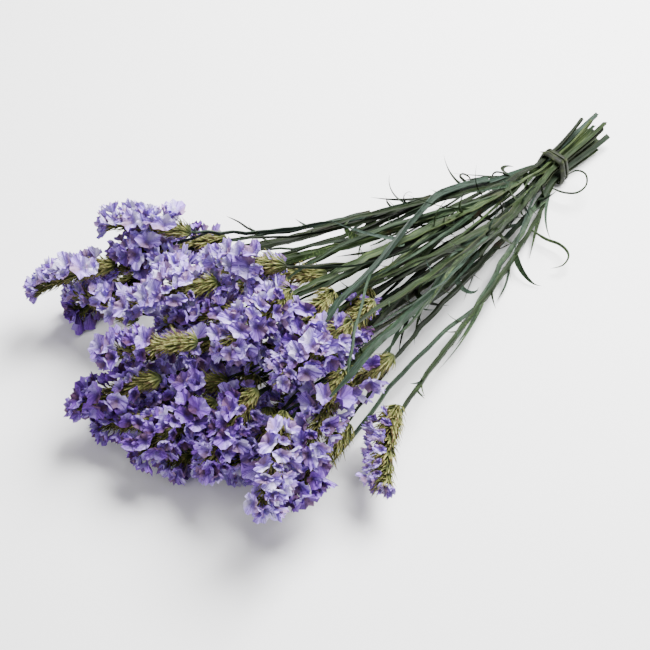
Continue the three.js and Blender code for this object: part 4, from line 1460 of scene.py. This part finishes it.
# %% The florets of one spike
def florets_on(spike, name, seed, longer=1.0):
    chance = np.random.default_rng(seed + 7)
    own = spike_tone(spike, name)
    fallen = MORE_FALLEN.get(name, FALLEN)
    kinds = CLOSED.get(name, range(len(FLORET_FORMS)))
    in_row = math.ceil(PLANTING["in_row"] * spike.length / SPIKE_LENGTH)
    made = []

    def plant(foot, toward, size):
        form = FLORET_FORMS[kinds[int(chance.integers(len(kinds)))]]
        spin = turned(spike.along, unit(toward), chance.uniform(0, 360))
        tone = own + chance.uniform(-TONES["of_floret"], TONES["of_floret"])
        made.append(planted(form, foot, toward, spin, size, tone))

    for roll, start in SPIKE_ROWS:
        for n in range(in_row):
            t = start + n / in_row + PLANTING["jitter"] * chance.uniform(-1, 1)
            radial = spike.radial(roll + PLANTING["stray"] * chance.uniform(-1, 1))
            lean = mix(*PLANTING["lean"], t) + PLANTING["leans"] * chance.uniform(-1, 1)
            foot = spike.point(t) + radial * (PLANTING["out"] * longer + chance.uniform(*PLANTING["uneven"]))
            if chance.random() > fallen and t > BARE.get(name, -1):
                size = chance.uniform(*PLANTING["size"]) * (1 - PLANTING["smaller"] * t) / math.sqrt(longer)
                plant(foot, radial + spike.along * lean, size)
    for roll, rise in TIP:
        radial = spike.radial(roll)
        size = chance.uniform(*PLANTING["tip_size"])
        plant(spike.point(PLANTING["tip_at"]) + radial, spike.along + radial * rise, size)
    return made


# %% Plant the florets
floret_pieces = []
for i, stem in enumerate(stems):
    for k, spike in enumerate(stem["spikes"]):
        name = f"{i + 1:02d}{'abc'[k]}"
        node = "florets_" + name
        blooms = florets_on(spike, name, 31 * i + 7 * k, LONG_COMB.get((i, k), 1.0))
        for n, spray in enumerate(stem["sprays"] if k == 0 else []):
            blooms += florets_on(spray, "spray", 31 * i + n + 3)
        piece = joined(blooms, node + "_bloom")
        press_on_table(piece.data)
        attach(piece, "root")
        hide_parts(node)
        floret_pieces.append(piece)
print("faces of the florets:", sum(len(piece.data.polygons) for piece in floret_pieces))

# %% [markdown]
# ## The elastic band
#
# A plain elastic is wound three times round the stems. Plain rings would stand off the bundle, which isn't
# round. Each turn lies tight on the bundle's outline, so the outline is found first, as a string would lie
# round the stems. A strip with rounded edges is then swept round it.

# %% Band finish
# The elastic's dark olive is mottled darker in patches: the dark mottling is painted shade, so the tie reads
# as lying in shadow among the stems.
BAND_TONES = [(0.3, "#0c0f07"), (0.55, "#1c2112"), (0.75, "#394027")]


def band_finish():
    finish = Finish("elastic", Specular_IOR_Level=0.15)
    # one noise gives the dust in the elastic's bumps and roughness, and its painted shade in the colour
    dust_and_shade = finish.noise(finish.coordinates("Object"), 300.0, 3.0)
    finish.bump(dust_and_shade, 0.1 * MM, 0.5)
    return finish.dress(Base_Color=finish.ramp(dust_and_shade, BAND_TONES), Roughness=dust_and_shade * 0.2 + 0.45)


ELASTIC = band_finish()
print("finish:", ELASTIC.name)

# %% Wind the band
# From turn to turn, half the strip's width and thickness, its round edges, and how skew each turn lies.
TURN = {"pitch": 2.85, "half_width": 1.35, "half_wall": 0.62, "round": 0.35, "skew": 0.35, "phase": 2.1}


def string_round(points):
    """The convex outline round a set of points, counter-clockwise."""

    def half(ordered):
        kept = []
        for p in ordered:
            while len(kept) > 1 and np.cross(kept[-1] - kept[-2], p - kept[-2]) <= 0:
                kept.pop()
            kept.append(p)
        return kept[:-1]

    ordered = sorted(points, key=lambda p: (p[0], p[1]))
    return np.array(half(ordered) + half(ordered[::-1]))


def bundle_outline(distance):
    """The outline at a distance from the tied stems' middles."""
    turns = np.radians(np.arange(0, 360, 15))
    ring = np.stack([np.cos(turns), np.sin(turns)], axis=1) * distance
    return string_round([np.array(slot) + offset for slot in slots for offset in ring])


def wind_turn(n):
    """One turn of the elastic, a little skew to its neighbours."""
    outline = bundle_outline(TIED_RADIUS + CLEARANCE + BAND["wall"] / 2)
    place = (n - (BAND["turns"] - 1) / 2) * TURN["pitch"]
    turns = np.arctan2(outline[:, 1] - outline[:, 1].mean(), outline[:, 0])
    along = place + TURN["skew"] * np.sin(turns + TURN["phase"] * n)
    flat = np.array([*TIE_AT, 0.0])
    points = flat + outline[:, :1] * TIE_ACROSS + along[:, None] * TIE_ALONG
    points[:, 2] = outline[:, 1]
    piece = swept(points, np.ones(len(points)), np.zeros(len(points)), STRIP, ring=True)
    piece.data.materials.append(ELASTIC)
    return piece


def strip_outline():
    """A flat strip's cut with round corners: its wall lies across the curve, its width along the stems."""
    wall, wide, corner = TURN["half_wall"], TURN["half_width"], TURN["round"]
    points = []
    for turn, (sx, sy) in enumerate([(1, 1), (-1, 1), (-1, -1), (1, -1)]):
        for part in (0, 0.5, 1):
            a = (turn + part) * math.pi / 2
            y = sy * (wall - corner) + corner * math.sin(a)
            points.append((sx * (wide - corner) + corner * math.cos(a), y))
    return points


STRIP = outline_object("strip_outline", strip_outline())
band = joined([wind_turn(n) for n in range(BAND["turns"])], "band_elastic")
press_on_table(band.data)
bpy.ops.object.shade_smooth_by_angle(angle=math.radians(40))
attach(band, "root")
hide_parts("band")
print("faces of the band:", len(band.data.polygons))

# %% [markdown]
# ## Clearing up
#
# The outlines and the forms that were copied aren't part of the bunch, so they go.

# %% Finish
for form in [WINGED, LEAFLET, ROLLED, STRIP, *BRACT_FORMS, *FLORET_FORMS]:
    bpy.data.objects.remove(form)
bpy.context.view_layer.update()
